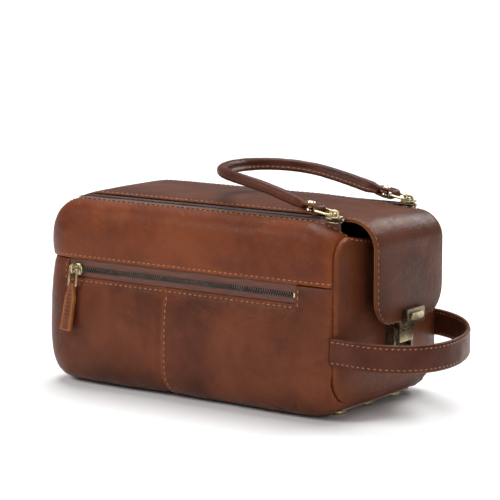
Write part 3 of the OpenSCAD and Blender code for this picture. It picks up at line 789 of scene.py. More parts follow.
def right_end_leather():
    vs = np.concatenate([np.linspace(4.97, 4, 20), np.linspace(4, 3, 40)[1:], np.linspace(3, 2, 12)[1:],
                         np.linspace(2, 1, 16)[1:]])
    points, t, y, z = end_rows(RIGHT_X, vs)
    corner = np.clip(vs - 4, 0, 1) * math.pi / 2
    y = y - SEAM_DEPTH * np.cos(corner)
    points[..., 1], points[..., 2] = y[:, None] * t, z[:, None]
    to_side = (1 - np.abs(t))[None] * y[:, None]
    to_base = (z - z[0])[:, None] + 0 * to_side
    to_top = (z[-1] - z)[:, None] + 0 * to_side
    points[..., 2] -= 5 * (1 - t ** 2)[None] * np.exp(-to_top / 18)
    skin = Skin(np.arange(len(vs), dtype=float), t, points)
    rise = 7.0 * puff(to_side, 13) * puff(to_base, 14) * (1 - 0.25 * np.exp(-to_top / 16))
    fold = np.minimum(to_side, to_base)
    rise += SEAM_DEPTH - roll(fold, SEAM_DEPTH)
    rise += creases(skin, 63) * puff(to_side, 9) * puff(to_base, 9) * 0.8
    rise += puckers(skin, to_side, 66, 8, 0.6) + puckers(skin, to_base, 67, 8, 0.5)
    rise -= 0.4 * np.exp(-((to_top - 4.5) / 1.1) ** 2)
    skin.points[..., 0] += rise
    wear = 0.8 * np.exp(-to_side / 2.2) + 0.8 * np.exp(-to_top / 1.4) + 0.5 * np.exp(-to_base / 2)
    skin, wear = turn_in(skin, wear, np.array([TURN_IN, 0, 0]))
    panel(skin, "right_end_leather", END_SHADED_LEATHER, wear, "right_end_panel")
    return skin


HINGE_X0, HINGE_X1 = COVER_LOW[0] - 9, COVER_LOW[0] + 9


def left_end_leather():
    """The closed end, from the base up and over the shoulder as far as the cover's hinge."""
    vs = np.concatenate([np.linspace(4.97, 4, 18), np.linspace(4, 3, 30)[1:], np.linspace(3, 2, 6)[1:],
                         np.linspace(2, 1, 10)[1:]])
    points, t, y, z = end_rows(-HALF_L, vs)
    a = np.linspace(0, math.pi / 2, 30)[1:]
    over = -HALF_L + R_SHOULDER * (1 - np.cos(a * 0.999))
    over = np.concatenate([over[over < HINGE_X0 - 0.5], [HINGE_X0]])
    rows = []
    for x in over:
        half, top, bottom, r_top, edge = outline(np.array(x))
        row = np.zeros((END_COLS, 3))
        row[:, 0], row[:, 1], row[:, 2] = x, edge * t, top
        rows.append(row)
    points = np.concatenate([points, np.array(rows)])
    y = np.abs(points[:, 0, 1])
    along = run(points[:, END_COLS // 2])[:, None]
    skin = Skin(np.arange(len(points), dtype=float), t, points)
    to_side = (1 - np.abs(t))[None] * y[:, None]
    rise = 3.5 * puff(to_side, 14) * puff(along, 14) * ease((150 - along) / 40)
    rise -= roll(to_side, LEFT_ROLL) + roll(along + 0 * to_side, LEFT_ROLL)
    rise += creases(skin, 71) * puff(to_side, 9) * 0.8
    skin.push(rise)
    skin, wear = turn_in(skin, 0.6 * np.exp(-to_side / 2.0), skin.normals * TURN_IN)
    panel(skin, "left_end_leather", LOWER_SHADED_LEATHER, wear, "left_end_panel")


upper_front = upper_panel("front_upper_leather", -1, 11, "front_upper_panel")
upper_back = upper_panel("back_upper_leather", 1, 15, "back_upper_panel")
lower_front = front_lower_panels()
lower_back = back_lower_panel()
base_leather()
right_end = right_end_leather()
left_end_leather()

# ---------------------------------------------------------------- top cover and end flap


COVER_X0 = HINGE_X0
FLAP_Z0 = FLAP_LOW[2]
CORNER_R = 20.0
BEND_LEN = BEND_R * math.pi / 2
COVER_LEN = BEND_X - COVER_X0
STRIP_LEN = COVER_LEN + BEND_LEN + BEND_Z - FLAP_Z0
COVER_TOP = COVER_HIGH[2]
EDGE_LIFT = 1.6


def strip_place(s, inset=0.0):
    """Place and outward direction on the middle line, going from the hinge along the cover, round the bend
    and down the flap; inset is how far below the outer face."""
    x = COVER_X0 + np.minimum(s, COVER_LEN)
    turn = np.clip((s - COVER_LEN) / BEND_R, 0, math.pi / 2)
    drop = np.maximum(s - COVER_LEN - BEND_LEN, 0)
    climb = ease((x - COVER_X0) / 16)
    top = outline(x)[1] * (1 - climb) + COVER_TOP * climb
    top = top + EDGE_LIFT * ease((x - COVER_X0 - 10) / 14) * (1 - ease((x - 104) / 22))
    z = np.where(s > COVER_LEN, BEND_Z + BEND_R * np.cos(turn) - drop, top)
    x = x + BEND_R * np.sin(turn)
    out = np.stack([np.sin(turn), 0 * turn, np.cos(turn)], -1)
    return np.stack([x, 0 * x, z], -1) - out * inset, out


def strip_half(s):
    """The strip's half width, with round corners at the flap's end."""
    x = COVER_X0 + s
    wide = outline(np.minimum(x, 0))[4]
    half = wide + (COVER_HALF_W - wide) * ease((x - COVER_X0 - 1) / 5)
    half = half + (FLAP_HALF_W - COVER_HALF_W) * ease((x - 106) / 10)
    into = np.clip(s - (STRIP_LEN - CORNER_R), 0, CORNER_R)
    return half - (CORNER_R - np.sqrt(np.maximum(CORNER_R ** 2 - into ** 2, 0)))


def strip_rows(s0, s1):
    s = steps(s0, min(s1, STRIP_LEN - CORNER_R), 2.0)
    if s1 > STRIP_LEN - CORNER_R:
        a = np.linspace(0, math.pi / 2, 18)[1:] * 0.985
        s = np.concatenate([s, STRIP_LEN - CORNER_R + CORNER_R * np.sin(a)])
    return s


def strip_sag(s, t):
    """The far side of the cover sags towards the flap."""
    sag = ease((s - COVER_LEN + 90) / 90) * (1 - ease((s - COVER_LEN + 4) / 60))
    return 3.0 * sag[:, None] * ease((t + 0.7) / 1.7)[None]


STRIP_COLS = np.sin(np.linspace(-1, 1, 57) * math.pi / 2)


def strip_surface(s, half, below):
    """Points and outward directions of a layer of the strip, some way below its outer face."""
    line, out = strip_place(s, below)
    points = line[:, None] + np.zeros((1, len(STRIP_COLS), 1))
    points[..., 1] = half[:, None] * STRIP_COLS
    points[..., 2] -= strip_sag(s, STRIP_COLS)
    return points, out


def strip_skin(s0, s1, seed):
    s = strip_rows(s0, s1)
    t = STRIP_COLS
    half = strip_half(s)
    points, out = strip_surface(s, half, 0)
    crown = 2.0 * ease((s - 8) / 40) * (1 - 0.75 * ease((s - COVER_LEN + 60) / 90))
    crown = crown + 1.2 * ease((s - COVER_LEN - BEND_LEN) / 20) * ease((STRIP_LEN - s) / 20)
    points += out[:, None] * (crown[:, None] * (1 - np.abs(t) ** 2.6))[..., None]
    skin = Skin(s, t, points)
    to_side = (1 - np.abs(t))[None] * half[:, None]
    to_end = (STRIP_LEN - s)[:, None] + 0 * to_side
    edge = np.minimum(to_side, to_end)
    seam = 1 - 0.6 * (s[:, None] > COVER_LEN + 10)
    rise = 0.8 * puff(edge, 5) - 0.8 - 0.35 * seam * np.exp(-((edge - 3.0) / 0.9) ** 2)
    rise += 0.35 * creases(skin, seed) * puff(edge, 7) - roll(edge, 0.8)
    rise += 0.4 * puckers(skin, edge, seed + 2, 5) * (s[:, None] < COVER_LEN)
    rise *= ease((s - 3) / 12)[:, None]
    # the hinge starts underneath the closed end's leather
    rise -= 2.0 * ease((1.5 - s) / 3)[:, None]
    skin.push(rise)
    return skin, np.clip(0.9 * np.exp(-edge / 1.3), 0, 1)


SPLIT = HINGE_X1 - COVER_X0
cover_skin, cover_wear = strip_skin(SPLIT, STRIP_LEN, 81)
cover_leather = cover_skin.mesh("cover_and_flap_leather", COVER, cover_wear)
thicken(cover_leather, LEATHER_T)
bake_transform(cover_leather)
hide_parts("top_cover", "end_flap")
hinge_skin, hinge_wear = strip_skin(-5, SPLIT, 81)
hinge_leather = hinge_skin.mesh("hinge_leather", COVER, hinge_wear)
thicken(hinge_leather, LEATHER_T)
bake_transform(hinge_leather)


def flap_lining():
    """The flap's second ply, seen at its edge and from below."""
    s = strip_rows(COVER_LEN - 18, STRIP_LEN - 0.4)
    half = strip_half(np.minimum(s + 0.4, STRIP_LEN)) - 0.3
    skin = Skin(s, STRIP_COLS, strip_surface(s, half, LEATHER_T + 0.35)[0])
    edge = np.minimum((1 - np.abs(STRIP_COLS))[None] * half[:, None], (STRIP_LEN - s)[:, None])
    skin.push(-roll(edge, 0.5) + 0.12 * lumps(skin.points, 14, 5))
    obj = skin.mesh("flap_lining_leather", FACING, np.clip(0.9 * np.exp(-edge / 1.2), 0, 1))
    thicken(obj, 0.9)
    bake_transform(obj)
    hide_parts("flap_backing", "cover_end_facing")


flap_lining()


def cover_inside():
    """The cover's cloth lining, a little slack, seen when the bag is open."""
    s = strip_rows(SPLIT + 1, COVER_LEN - 16)
    half = strip_half(s) - 1.2
    skin = Skin(s, STRIP_COLS, strip_surface(s, half, LEATHER_T + 1.6)[0])
    to_side = (1 - np.abs(STRIP_COLS))[None] * half[:, None]
    slack = 0.7 * lumps(skin.points, 24, 101) + 0.5 * lumps(skin.points, 10, 102) - 1.0
    skin.push(puff(to_side, 8) * slack)
    obj = skin.mesh("cover_lining_cloth", LINING)
    thicken(obj, 0.8)
    finish_piece(obj, "cover", "lining_fabric", "cover_lining", "cover_padding")


def end_facing():
    """The leather strip behind the top of the open end."""
    depth = corners("right_end_facing")[1][2] - corners("right_end_facing")[0][2]
    rows = right_end.points[:, END_COLS // 2 + 1, 2] > corners("right_end_panel")[1][2] - depth - 4
    points, normals = right_end.points[rows][:, 3:-3], right_end.normals[rows][:, 3:-3]
    skin = Skin(right_end.u[rows], right_end.v[3:-3], points - normals * (LEATHER_T + 0.3))
    skin.push(0.15 * lumps(points, 8, 104))
    obj = skin.mesh("right_end_facing_leather", FACING, np.zeros(points.shape[:2]))
    thicken(obj, 1.0)
    finish_piece(obj, "body", "facing_leather", "right_end_facing")


cover_inside()
end_facing()

# ---------------------------------------------------------------- stitches


class Stitches:
    """Rows of short slanted thread stitches, gathered into one piece."""

    RINGS = ((-0.5, 0.15), (-0.4, 0.75), (-0.15, 1.0), (0.15, 1.0), (0.4, 0.75), (0.5, 0.15))
    SIDES = 6

    def __init__(self, name, body=None):
        self.name, self.body, self.points, self.faces = name, body, [], []
        self.rng = np.random.default_rng(len(name) * 17 + sum(map(ord, name)))

    def row(self, points, normals, pitch=PITCH, length=3.2, width=0.5, lean=0.12, lift=0.1):
        points, normals = np.asarray(points), np.asarray(normals)
        s = run(points)
        if s[-1] < pitch:
            return self
        centres = np.arange(pitch / 2, s[-1] - pitch / 3, pitch)
        for c in centres + self.rng.normal(0, 0.12, len(centres)):
            at = between(c, s, points)
            n = unit(between(c, s, normals))
            t = unit(between(min(c + 1.5, s[-1]), s, points) - between(max(c - 1.5, 0), s, points))
            side = unit(np.cross(n, t))
            t = unit(t + side * (lean + self.rng.normal(0, 0.05)))
            side = unit(np.cross(n, t))
            self.capsule(at + n * lift, t, side, n, length * (1 + self.rng.normal(0, 0.05)), width)
        return self

    def capsule(self, at, t, side, n, length, width):
        start = len(self.points)
        for k, grow in self.RINGS:
            centre = at + t * length * k - n * (1.9 * width * (2 * abs(k)) ** 4)
            for q in range(self.SIDES):
                a = 2 * math.pi * q / self.SIDES
                self.points.append(centre + (side * math.cos(a) + n * math.sin(a) * 0.85) * width * grow)
        rings = len(self.RINGS)
        self.faces += [[start + f for f in face] for face in grid_faces(rings, self.SIDES, close_cols=True)]
        self.faces.append([start + q for q in range(self.SIDES)][::-1])
        self.faces.append([start + (rings - 1) * self.SIDES + q for q in range(self.SIDES)])

    def done(self, material=None):
        obj = make(self.name, self.points, self.faces, material or THREAD, closed=True)
        if self.body:
            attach(obj, self.body)
        return obj


def inset_line(skin, axis, distance, from_end=False, keep=None):
    """Points and normals on a skin at this distance from one of its edges."""
    points, normals = skin.points, skin.normals
    if axis == 0:
        points, normals = points.swapaxes(0, 1), normals.swapaxes(0, 1)
    if from_end:
        points, normals = points[:, ::-1], normals[:, ::-1]
    out_points, out_normals = [], []
    for p, n in zip(points, normals):
        s = run(p)
        at = between(distance, s, p)
        if keep is None or keep(at):
            out_points.append(at)
            out_normals.append(unit(between(distance, s, n)))
    return np.array(out_points), np.array(out_normals)


WINDOW_STITCH, CENTRE_STITCH, EDGE_STITCH = 2.6, 2.7, 3.0

body_stitches = Stitches("body_stitches", "body")
for skin in (upper_front, upper_back):
    body_stitches.row(*inset_line(skin, 1, EDGE_STITCH, True, lambda p: p[0] > -HALF_L + 3))
    body_stitches.row(*inset_line(skin, 1, 2.7, False, lambda p: p[0] > HINGE_X0))
v_row = WINDOW_V + WINDOW_STITCH / FLAT_HEIGHT
body_stitches.row(*lower_front.line(np.linspace(WINDOW_X0 + 1, WINDOW_X1 - 1, 160), v_row))
for x in (WINDOW_X0 - WINDOW_STITCH, WINDOW_X1 + WINDOW_STITCH):
    body_stitches.row(*lower_front.line(x, np.linspace(3.04, v_row, 12)))
down = np.linspace(v_row + 0.04, BASE_V - 0.05, 70)
body_stitches.row(*lower_front.line(CENTRE_SEAM_X + CENTRE_STITCH, down), length=3.1)
body_stitches.row(*inset_line(right_end, 0, 4.6, True, lambda p: abs(p[1]) < HALF_W - 8))
body_stitches.done()

seam_stitches = Stitches("dark_seam_stitches", "body")
for skin in (upper_front, upper_back, lower_front, lower_back):
    seam_stitches.row(*inset_line(skin, 0, 0.9, True, lambda p: p[2] > 8), pitch=3.6, length=2.2,
                      width=0.4, lean=0.6, lift=-0.1)
seam_stitches.done(SEAM_THREAD)

cover_stitches = Stitches("cover_stitches", "cover")
flap_stitches = Stitches("flap_stitches")
for from_end in (False, True):
    points, normals = inset_line(cover_skin, 1, EDGE_STITCH, from_end)
    on_cover = cover_skin.u < COVER_LEN - 6
    cover_stitches.row(points[on_cover], normals[on_cover])
    flap_stitches.row(points[~on_cover][:-1], normals[~on_cover][:-1])
points, normals = inset_line(cover_skin, 0, EDGE_STITCH, True, lambda p: abs(p[1]) < FLAP_HALF_W - CORNER_R)
flap_stitches.row(points, normals)
cover_stitches.done()
flap_thread = flap_stitches.done(DARK_THREAD)
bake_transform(flap_thread)

# ---------------------------------------------------------------- side strap


def strap_line(count=90):
    """The strap's middle line, from the CAD strap's own outline seen from above."""
    low, high = corners("side_strap")
    mesh = frame["nodes"]["side_strap"].data
    co = np.zeros(len(mesh.vertices) * 3)
    mesh.vertices.foreach_get("co", co)
    co = (co.reshape(-1, 3) - ORIGIN) / MM
    ring = np.unique(np.round(co[np.abs(co[:, 2] - high[2]) < 0.01][:, :2], 3), axis=0)
    centre = np.array([low[0], 0.0])
    angle = np.arctan2(ring[:, 1], ring[:, 0] - centre[0] + 30)
    away = np.hypot(ring[:, 0] - centre[0] + 30, ring[:, 1])
    order = np.argsort(angle)
    angle, away = angle[order], away[order]
    grid = np.linspace(angle[2], angle[-3], 60)
    width = (grid[1] - grid[0]) * 2.2
    near = [away[np.abs(angle - g) < width] for g in grid]
    smooth = np.polynomial.Polynomial.fit(grid, [(r.max() + r.min()) / 2 for r in near], 9)
    a = np.linspace(grid[0], grid[-1], count)
    r = smooth(a)
    return np.stack([centre[0] - 30 + r * np.cos(a), r * np.sin(a)], -1)


def strap():
    flat = strap_line()
    low, high = corners("side_strap")
    mid_z, half = (low[2] + high[2]) / 2, (high[2] - low[2]) / 2
    # the ends run on into the seams
    flat = np.concatenate([[[RIGHT_X + 0.4, flat[0, 1] - 1.2]], flat, [[RIGHT_X + 0.4, flat[-1, 1] + 1.2]]])
    s = run(flat)
    even = np.linspace(0, s[-1], 150)
    flat = between(even, s, flat).T
    for _ in range(6):
        flat[1:-1] = (flat[:-2] + 2 * flat[1:-1] + flat[2:]) / 4
    part = even / s[-1]
    dip = 1.4 * np.cos(part * 2 * math.pi) * (1 - part) + 1.6 * ease((part - 0.3) / 0.5) - 1.0
    path = np.column_stack([flat, mid_z + dip])
    tangent = unit(np.gradient(path, axis=0))
    outward = unit(np.cross(tangent, np.array([0, 0, 1.0])))
    up = np.array([0, 0, 1.0])
    t = 1.5
    loop = []
    for k in np.linspace(-1, 1, 21):
        loop.append((t - 0.5 * abs(k) ** 3 - 1.2 * max(0, abs(k) - 0.93) * 9, k * half))
    for k in np.linspace(1, -1, 21)[1:-1]:
        loop.append((-t + 0.25 * abs(k) ** 3 + 0.9 * max(0, abs(k) - 0.93) * 9, k * (half - 0.15)))
    loop = np.array(loop)
    rings = path[:, None] + outward[:, None] * loop[None, :, :1] + up * loop[None, :, 1:]
    inner = np.arange(len(loop)) >= 21
    shake = 0.22 * lumps(rings, 9, 91) + 0.3 * lumps(rings * np.array([1, 1, 0.25]), 3.5, 92) * inner
    rings += outward[:, None] * shake[..., None]
    count, sides = rings.shape[:2]
    faces = grid_faces(count, sides, close_cols=True, flip=True)
    faces += [list(range(sides)), [(count - 1) * sides + k for k in range(sides)][::-1]]
    edge = np.minimum(1, 0 * rings[..., 0] + (np.abs(loop[:, 1]) > half - 0.7)[None])
    obj = make("side_strap_leather", rings, faces, STRAP, edge * 0.6, closed=True)
    finish_piece(obj, "body", "strap_leather", "side_strap")
    rows = Stitches("strap_stitches", "body")
    for z in (-1, 1):
        line = path + up * z * (half - 2.7)
        rows.row(line + outward * (t - 0.15), outward, pitch=4.1, length=2.8, width=0.4, lift=0.0,
                 lean=0.14 * z)
        rows.row(line - outward * (t - 0.15), -outward, pitch=4.4, lift=0.0, width=0.45)
    rows.done()


strap()

# ---------------------------------------------------------------- carry handle

RING_LOW, RING_HIGH = corners("handle_rings")
HANDLE_Y = middle("front_handle_loop")[1]
HANDLE_D = 8.0
CORE_LOW, CORE_HIGH = corners("handle_core")


def handle_path(count=200):
    """The rolled grip's middle line: from the front loop, round the bend, to the back one."""
    y0 = abs(HANDLE_Y)
    x_end, z_end = CORE_HIGH[0], CORE_LOW[2] + 2.5
    x_far, z_far = CORE_LOW[0] + 2.5, CORE_HIGH[2] - 2.5
    legs = x_end - x_far - y0
    total = 2 * legs + math.pi * y0
    s = np.linspace(0, total, count)
    a = np.clip((s - legs) / y0, 0, math.pi)
    x = x_end - np.clip(s, 0, legs) - y0 * np.sin(a) + np.clip(s - legs - math.pi * y0, 0, legs)
    y = -y0 * np.cos(a)
    down = (x_end - x) / (x_end - x_far)
    z = z_end + (z_far - z_end) * down + 4.5 * np.sin(math.pi * down) * (0.75 - 0.25 * y / y0)
    return np.stack([x, y, z], -1)


def handle():
    path = handle_path()
    tangent = unit(np.gradient(path, axis=0))
    tilt = unit(np.array([-(CORE_HIGH[2] - CORE_LOW[2] - 5), 0, -(CORE_HIGH[0] - CORE_LOW[0] - 5)]))
    up = -tilt
    up = unit(up - tangent * (tangent @ up)[:, None])
    inward = unit(np.cross(up, tangent))
    if (inward[0] @ np.array([0, 1, 0])) < 0:
        inward = -inward
    r = HANDLE_D / 2
    section_points = []
    for a in np.linspace(math.radians(28), math.radians(332), 26):
        section_points.append((math.cos(a) * r, math.sin(a) * r))
    flange = [(r + 0.7, -1.35), (r + 2.2, -1.25), (r + 3.0, -1.05), (r + 3.2, -0.2), (r + 3.0, 0.75),
              (r + 2.2, 1.05), (r + 0.7, 1.25)]
    section_points += flange
    sec = np.array(section_points)
    lean = math.radians(-24)
    sec = sec @ np.array([[math.cos(lean), math.sin(lean)], [-math.sin(lean), math.cos(lean)]])
    part = np.linspace(0, 1, len(path))
    thin = 0.72 + 0.28 * ease(np.minimum(part, 1 - part) / 0.035)
    round_path = sec[None, :, :1] * inward[:, None] + sec[None, :, 1:] * up[:, None]
    rings = path[:, None] + round_path * thin[:, None, None]
    wrinkles = 0.16 * lumps(rings, 6, 95) + 0.1 * lumps(rings, 2.2, 96)
    rings += wrinkles[..., None] * unit(rings - path[:, None])
    count, sides = rings.shape[:2]
    faces = grid_faces(count, sides, close_cols=True)
    faces += [list(range(sides))[::-1], [(count - 1) * sides + k for k in range(sides)]]
    wear = np.zeros((count, sides))
    wear[:, -len(flange):] = 0.25
    obj = make("handle_leather", rings, faces, STRAP, wear, closed=True)
    finish_piece(obj, "handle", "strap_leather", "handle_cover", "handle_core")
    rows = Stitches("handle_stitches", "handle")
    c, q = math.cos(lean), math.sin(lean)
    for side_sign, height in ((-1, -1.28), (1, 1.08)):
        offset = (r + 1.7) * np.array([c, q]) + height * np.array([-q, c])
        line = path + inward * offset[0] + up * offset[1]
        normal = (inward * -q + up * c) * side_sign
        rows.row(line[4:-4], normal[4:-4], pitch=4.0, length=2.8, width=0.42, lift=0.05)
    rows.done()


handle()

# ---------------------------------------------------------------- zips and metal


def tooth_row(name, x0, x1, place, pitch, size, material, body, slot_name, *replaced):
    """A row of zip teeth along X: place(x) is a tooth's centre, its outward and its sideways directions."""
    points, faces = [], []
    block = [(x, y, z) for x in (-1, 1) for y in (-1, 1) for z in (-1, 1)]
    sides = [(0, 1, 3, 2), (4, 6, 7, 5), (0, 4, 5, 1), (2, 3, 7, 6), (0, 2, 6, 4), (1, 5, 7, 3)]
    for x in np.arange(x0, x1, pitch):
        at, out, side = place(x)
        start = len(points)
        for a, b, c in block:
            taper = 0.72 if b > 0 else 1.0
            along = np.array([a * size[0], 0, 0])
            points.append(at + side * b * size[1] + (along + out * c * size[2]) * taper)
        faces += [[start + k for k in f] for f in sides]
    obj = make(name, points, faces, material, smooth=False, closed=True)
    round_edges(obj, 0.14, 1, 30)
    return finish_piece(obj, body, slot_name, *replaced)


ZIP_X0, ZIP_X1 = COVER_LOW[0], 126.0
COIL_PITCH, COIL_SIZE = 1.5, (0.42, 0.75, 0.75)
TOOTH_PITCH, TOOTH_SIZE = 2.0, (0.5, 0.95, 0.85)
ALONG, ACROSS, UP = np.eye(3)


def zip_rise(x):
    """Height of a top zip's chain."""
    return outline(np.minimum(x, 100))[1] + 0.7


def top_tape(node, y_in, y_out, z_out, body):
    """A zip tape: woven, a little wavy, from the teeth to where a panel's edge covers it."""
    x = steps(HINGE_X0 - 1 if body == "body" else ZIP_X0, ZIP_X1, 1.5)
    t = np.linspace(0, 1, 7)
    # past the zip's end the body's tape closes the corner under the hinge
    closing = ease((ZIP_X0 - 1 - x) / 3)
    y_in = y_in - math.copysign(7.0, y_in) * closing
    z_in = zip_rise(x) - 2.6 * closing
    y = y_in[:, None] + (y_out(x) - y_in)[:, None] * t
    z = z_in[:, None] + (z_out(x) - z_in)[:, None] * t
    points = np.stack([x[:, None] + 0 * y, y, z], -1)
    points[..., 2] += 0.25 * lumps(points, 14, 44) * (1 - t)
    skin = Skin(x, t, points)
    obj = skin.mesh(f"{node}_weave", TAPE)
    thicken(obj, 0.5)
    finish_piece(obj, body, "zip_tape", node)


def top_zip_teeth():
    for y_sign, end in ((-1, "front"), (1, "back")):
        top_tape(f"{end}_zip_tape_body", y_sign * (ZIP_Y + 0.9),
                 lambda x, k=y_sign: k * (outline(x)[4] + 2.0), lambda x: outline(x)[1] - 2.1, "body")
        top_tape(f"{end}_zip_tape_cover", y_sign * (ZIP_Y - 0.9), lambda x, k=y_sign: k * (ZIP_Y - 7 + 0 * x),
                 lambda x: zip_rise(x) + 0.6, "cover")
        for body in ("cover", "body"):
            node = f"{end}_zip_teeth_{body}"
            low, high = corners(node)
            toward = y_sign if body == "cover" else -y_sign
            y = (low[1] + high[1]) / 2 + toward * 0.25

            def place(x, y=y, toward=toward):
                return np.array([x, y, zip_rise(x)]), UP, ACROSS * toward

            shift = 0.75 if body == "cover" else 0.0
            tooth_row(f"{node}_coil", low[0] + 0.6 + shift, ZIP_X1, place, COIL_PITCH, COIL_SIZE, COIL, body,
                      "coil_teeth", node)


def pocket_teeth():
    for name, toward, shift in (("upper", -1, 0.0), ("lower", 1, 1.0)):
        node = f"pocket_teeth_{name}"
        low, high = corners(node)
        mid = (low + high) / 2

        def place(x, mid=mid, toward=toward):
            at = np.array([x, mid[1] - 0.1, mid[2] + toward * 0.3])
            return at, -ACROSS, UP * toward

        tooth_row(f"pocket_{name}_teeth", low[0] + 0.8 + shift, high[0] - 0.6, place, TOOTH_PITCH,
                  TOOTH_SIZE, TEETH, "body", "metal_teeth", node)


def pocket_tapes():
    """Tapes behind the window, from the teeth to where the panels cover them."""
    y = middle("pocket_teeth_upper")[1] + 0.35
    x = steps(WINDOW_X0 - 3, WINDOW_X1 + 3, 4)
    for name, z_teeth, z_edge in (("upper", corners("pocket_teeth_upper")[0][2] + 0.3, SEAM_Z + 2),
                                  ("lower", corners("pocket_teeth_lower")[1][2] - 0.3, WINDOW_LOW - 3)):
        t = np.linspace(0, 1, 8)
        points = np.stack(np.meshgrid(x, z_teeth + (z_edge - z_teeth) * t, indexing="ij"), -1)
        points = np.stack([points[..., 0], y + 0.5 * t[None] ** 2 + 0 * points[..., 0], points[..., 1]], -1)
        points[..., 1] += 0.15 * lumps(points, 11, 47)
        skin = Skin(x, t, points)
        obj = skin.mesh(f"pocket_{name}_tape_weave", TAPE)
        thicken(obj, 0.5)
        finish_piece(obj, "body", "zip_tape", f"pocket_tape_{name}")


def zip_stops():
    """Small blocks that end the top zips: bottom stops across both teeth, top stops on the cover's side."""
    kinds = (("zip_end_stops", "body", "top_zip_bottom_stops", ZIP_X0 + 1.2, ZIP_Y, (1, 1.8, 0.6), 0.4),
             ("zip_top_stops", "cover", "top_zip_top_stops", ZIP_X1 + 0.9, ZIP_Y - 1.2, (0.8, 0.8, 0.8), 0))
    for name, body, node, x, y, half, extra in kinds:
        z = float(zip_rise(x))
        low, high = -np.array(half), np.array(half) + UP * extra
        blocks = []
        for side in (-1, 1):
            at = np.array([x, side * y, z])
            blocks.append(box_mesh(f"{name}{side}", at + low, at + high, BRASS))
        finish_piece(join(name, blocks), body, "antique_brass", node)


def lining():
    """The cloth lining: a slack tub inside the panels, with room for the pocket behind the front."""
    x = steps(-HALF_L + 7, RIGHT_X - 4, 4)
    one = np.concatenate([np.linspace(0.5, 1, 3), np.linspace(1, 2, 5)[1:], np.linspace(2, 3, 8)[1:],
                          np.linspace(3, 4, 12)[1:], np.linspace(4, 5, 7)[1:], np.linspace(5, 5.98, 7)[1:]])
    v = np.concatenate([one, one[::-1]])
    xx, vv = np.meshgrid(x, v, indexing="ij")
    y, z = section(xx, vv)
    y[:, :len(one)] *= -1
    points = np.stack([xx, y, z], -1)
    skin = Skin(x, np.linspace(-1, 1, len(v)), points)
    skin.push(-6.0 + 0.9 * lumps(points, 22, 61) + 0.6 * lumps(points, 9, 62))
    p = skin.points
    front = p[..., 1] < 0
    behind = ease((p[..., 0] - WINDOW_X0 + 9) / 8) * ease((WINDOW_X1 + 9 - p[..., 0]) / 8)
    behind = behind * ease((p[..., 2] - 14) / 10) * ease((SEAM_Z + 10 - p[..., 2]) / 8)
    inner = corners("pocket_bag")[1][1] + 1.0
    p[..., 1] = np.where(front, p[..., 1] + behind * np.maximum(inner - p[..., 1], 0), p[..., 1])
    p[..., 2] = np.maximum(p[..., 2], corners("foot_washers")[1][2] + 0.4)
    rows, cols = p.shape[:2]
    faces = grid_faces(rows, cols, flip=skin.flip)
    left = list(range(cols))
    right = [(rows - 1) * cols + k for k in range(cols) if p[-1, k, 2] < corners("right_end_panel")[1][2] - 2]
    faces += [left, right[::-1]]
    obj = make("lining_cloth", p, faces, LINING)
    finish_piece(obj, "body", "lining_fabric", "body_lining")


lining()
pocket_tapes()
zip_stops()
top_zip_teeth()
pocket_teeth()


def lathe(name, at, axis, profile, material, sides=28):
    """A turned shape: profile is (radius, distance along the axis)."""
    axis = unit(np.asarray(axis, float))
    helper = np.array([1.0, 0, 0]) if abs(axis[0]) < 0.8 else np.array([0, 1.0, 0])
    u = unit(np.cross(axis, helper))
    w = np.cross(axis, u)
    a = np.linspace(0, 2 * math.pi, sides, endpoint=False)
    ring = np.cos(a)[:, None] * u + np.sin(a)[:, None] * w
    points = np.array([np.asarray(at) + axis * h + ring * r for r, h in profile])
    faces = grid_faces(len(profile), sides, close_cols=True)
    faces.append(list(range(sides))[::-1])
    faces.append([(len(profile) - 1) * sides + k for k in range(sides)])
    return make(name, points, faces, material, closed=True)


def prism(name, outline_points, frame_axes, at, low, high, material, bevel=0.25):
    """A flat plate: an outline drawn in the first two axes, from low to high along the third."""
    a, b, c = frame_axes
    ring = np.array([a * p[0] + b * p[1] for p in outline_points])
    points = np.concatenate([ring + c * low, ring + c * high]) + at
    n = len(outline_points)
    faces = [list(range(n))[::-1], list(range(n, 2 * n))]
    faces += [[k, (k + 1) % n, n + (k + 1) % n, n + k] for k in range(n)]
    obj = make(name, points, faces, material, closed=True)
    round_edges(obj, bevel, 2, 40)
    return obj


def rod(name, path, radius, material, sides=12):
    return tube(name, path, np.repeat(ring_section(radius, radius, sides)[None], len(path), 0), material,
                frames=any_frames)


def any_frames(tangent):
    """Side and up directions that turn smoothly along any path."""
    helper = np.array([0.0, 1.0, 0.0]) if abs(tangent[0][1]) < 0.7 else np.array([1.0, 0.0, 0.0])
    sides, side = [], unit(np.cross(tangent[0], helper))
    for t in tangent:
        side = unit(side - t * (side @ t))
        sides.append(side)
    side = np.array(sides)
    return side, unit(np.cross(side, tangent))


SLIDER_SIDE = [(5.9, 1.3), (5.6, 3.3), (3.2, 4.3), (-1.0, 4.3), (-4.4, 3.6), (-5.6, 2.0)]
SLIDER_SHAPE = [(x, -y) for x, y in SLIDER_SIDE[::-1]] + [(4.4, 0)] + SLIDER_SIDE


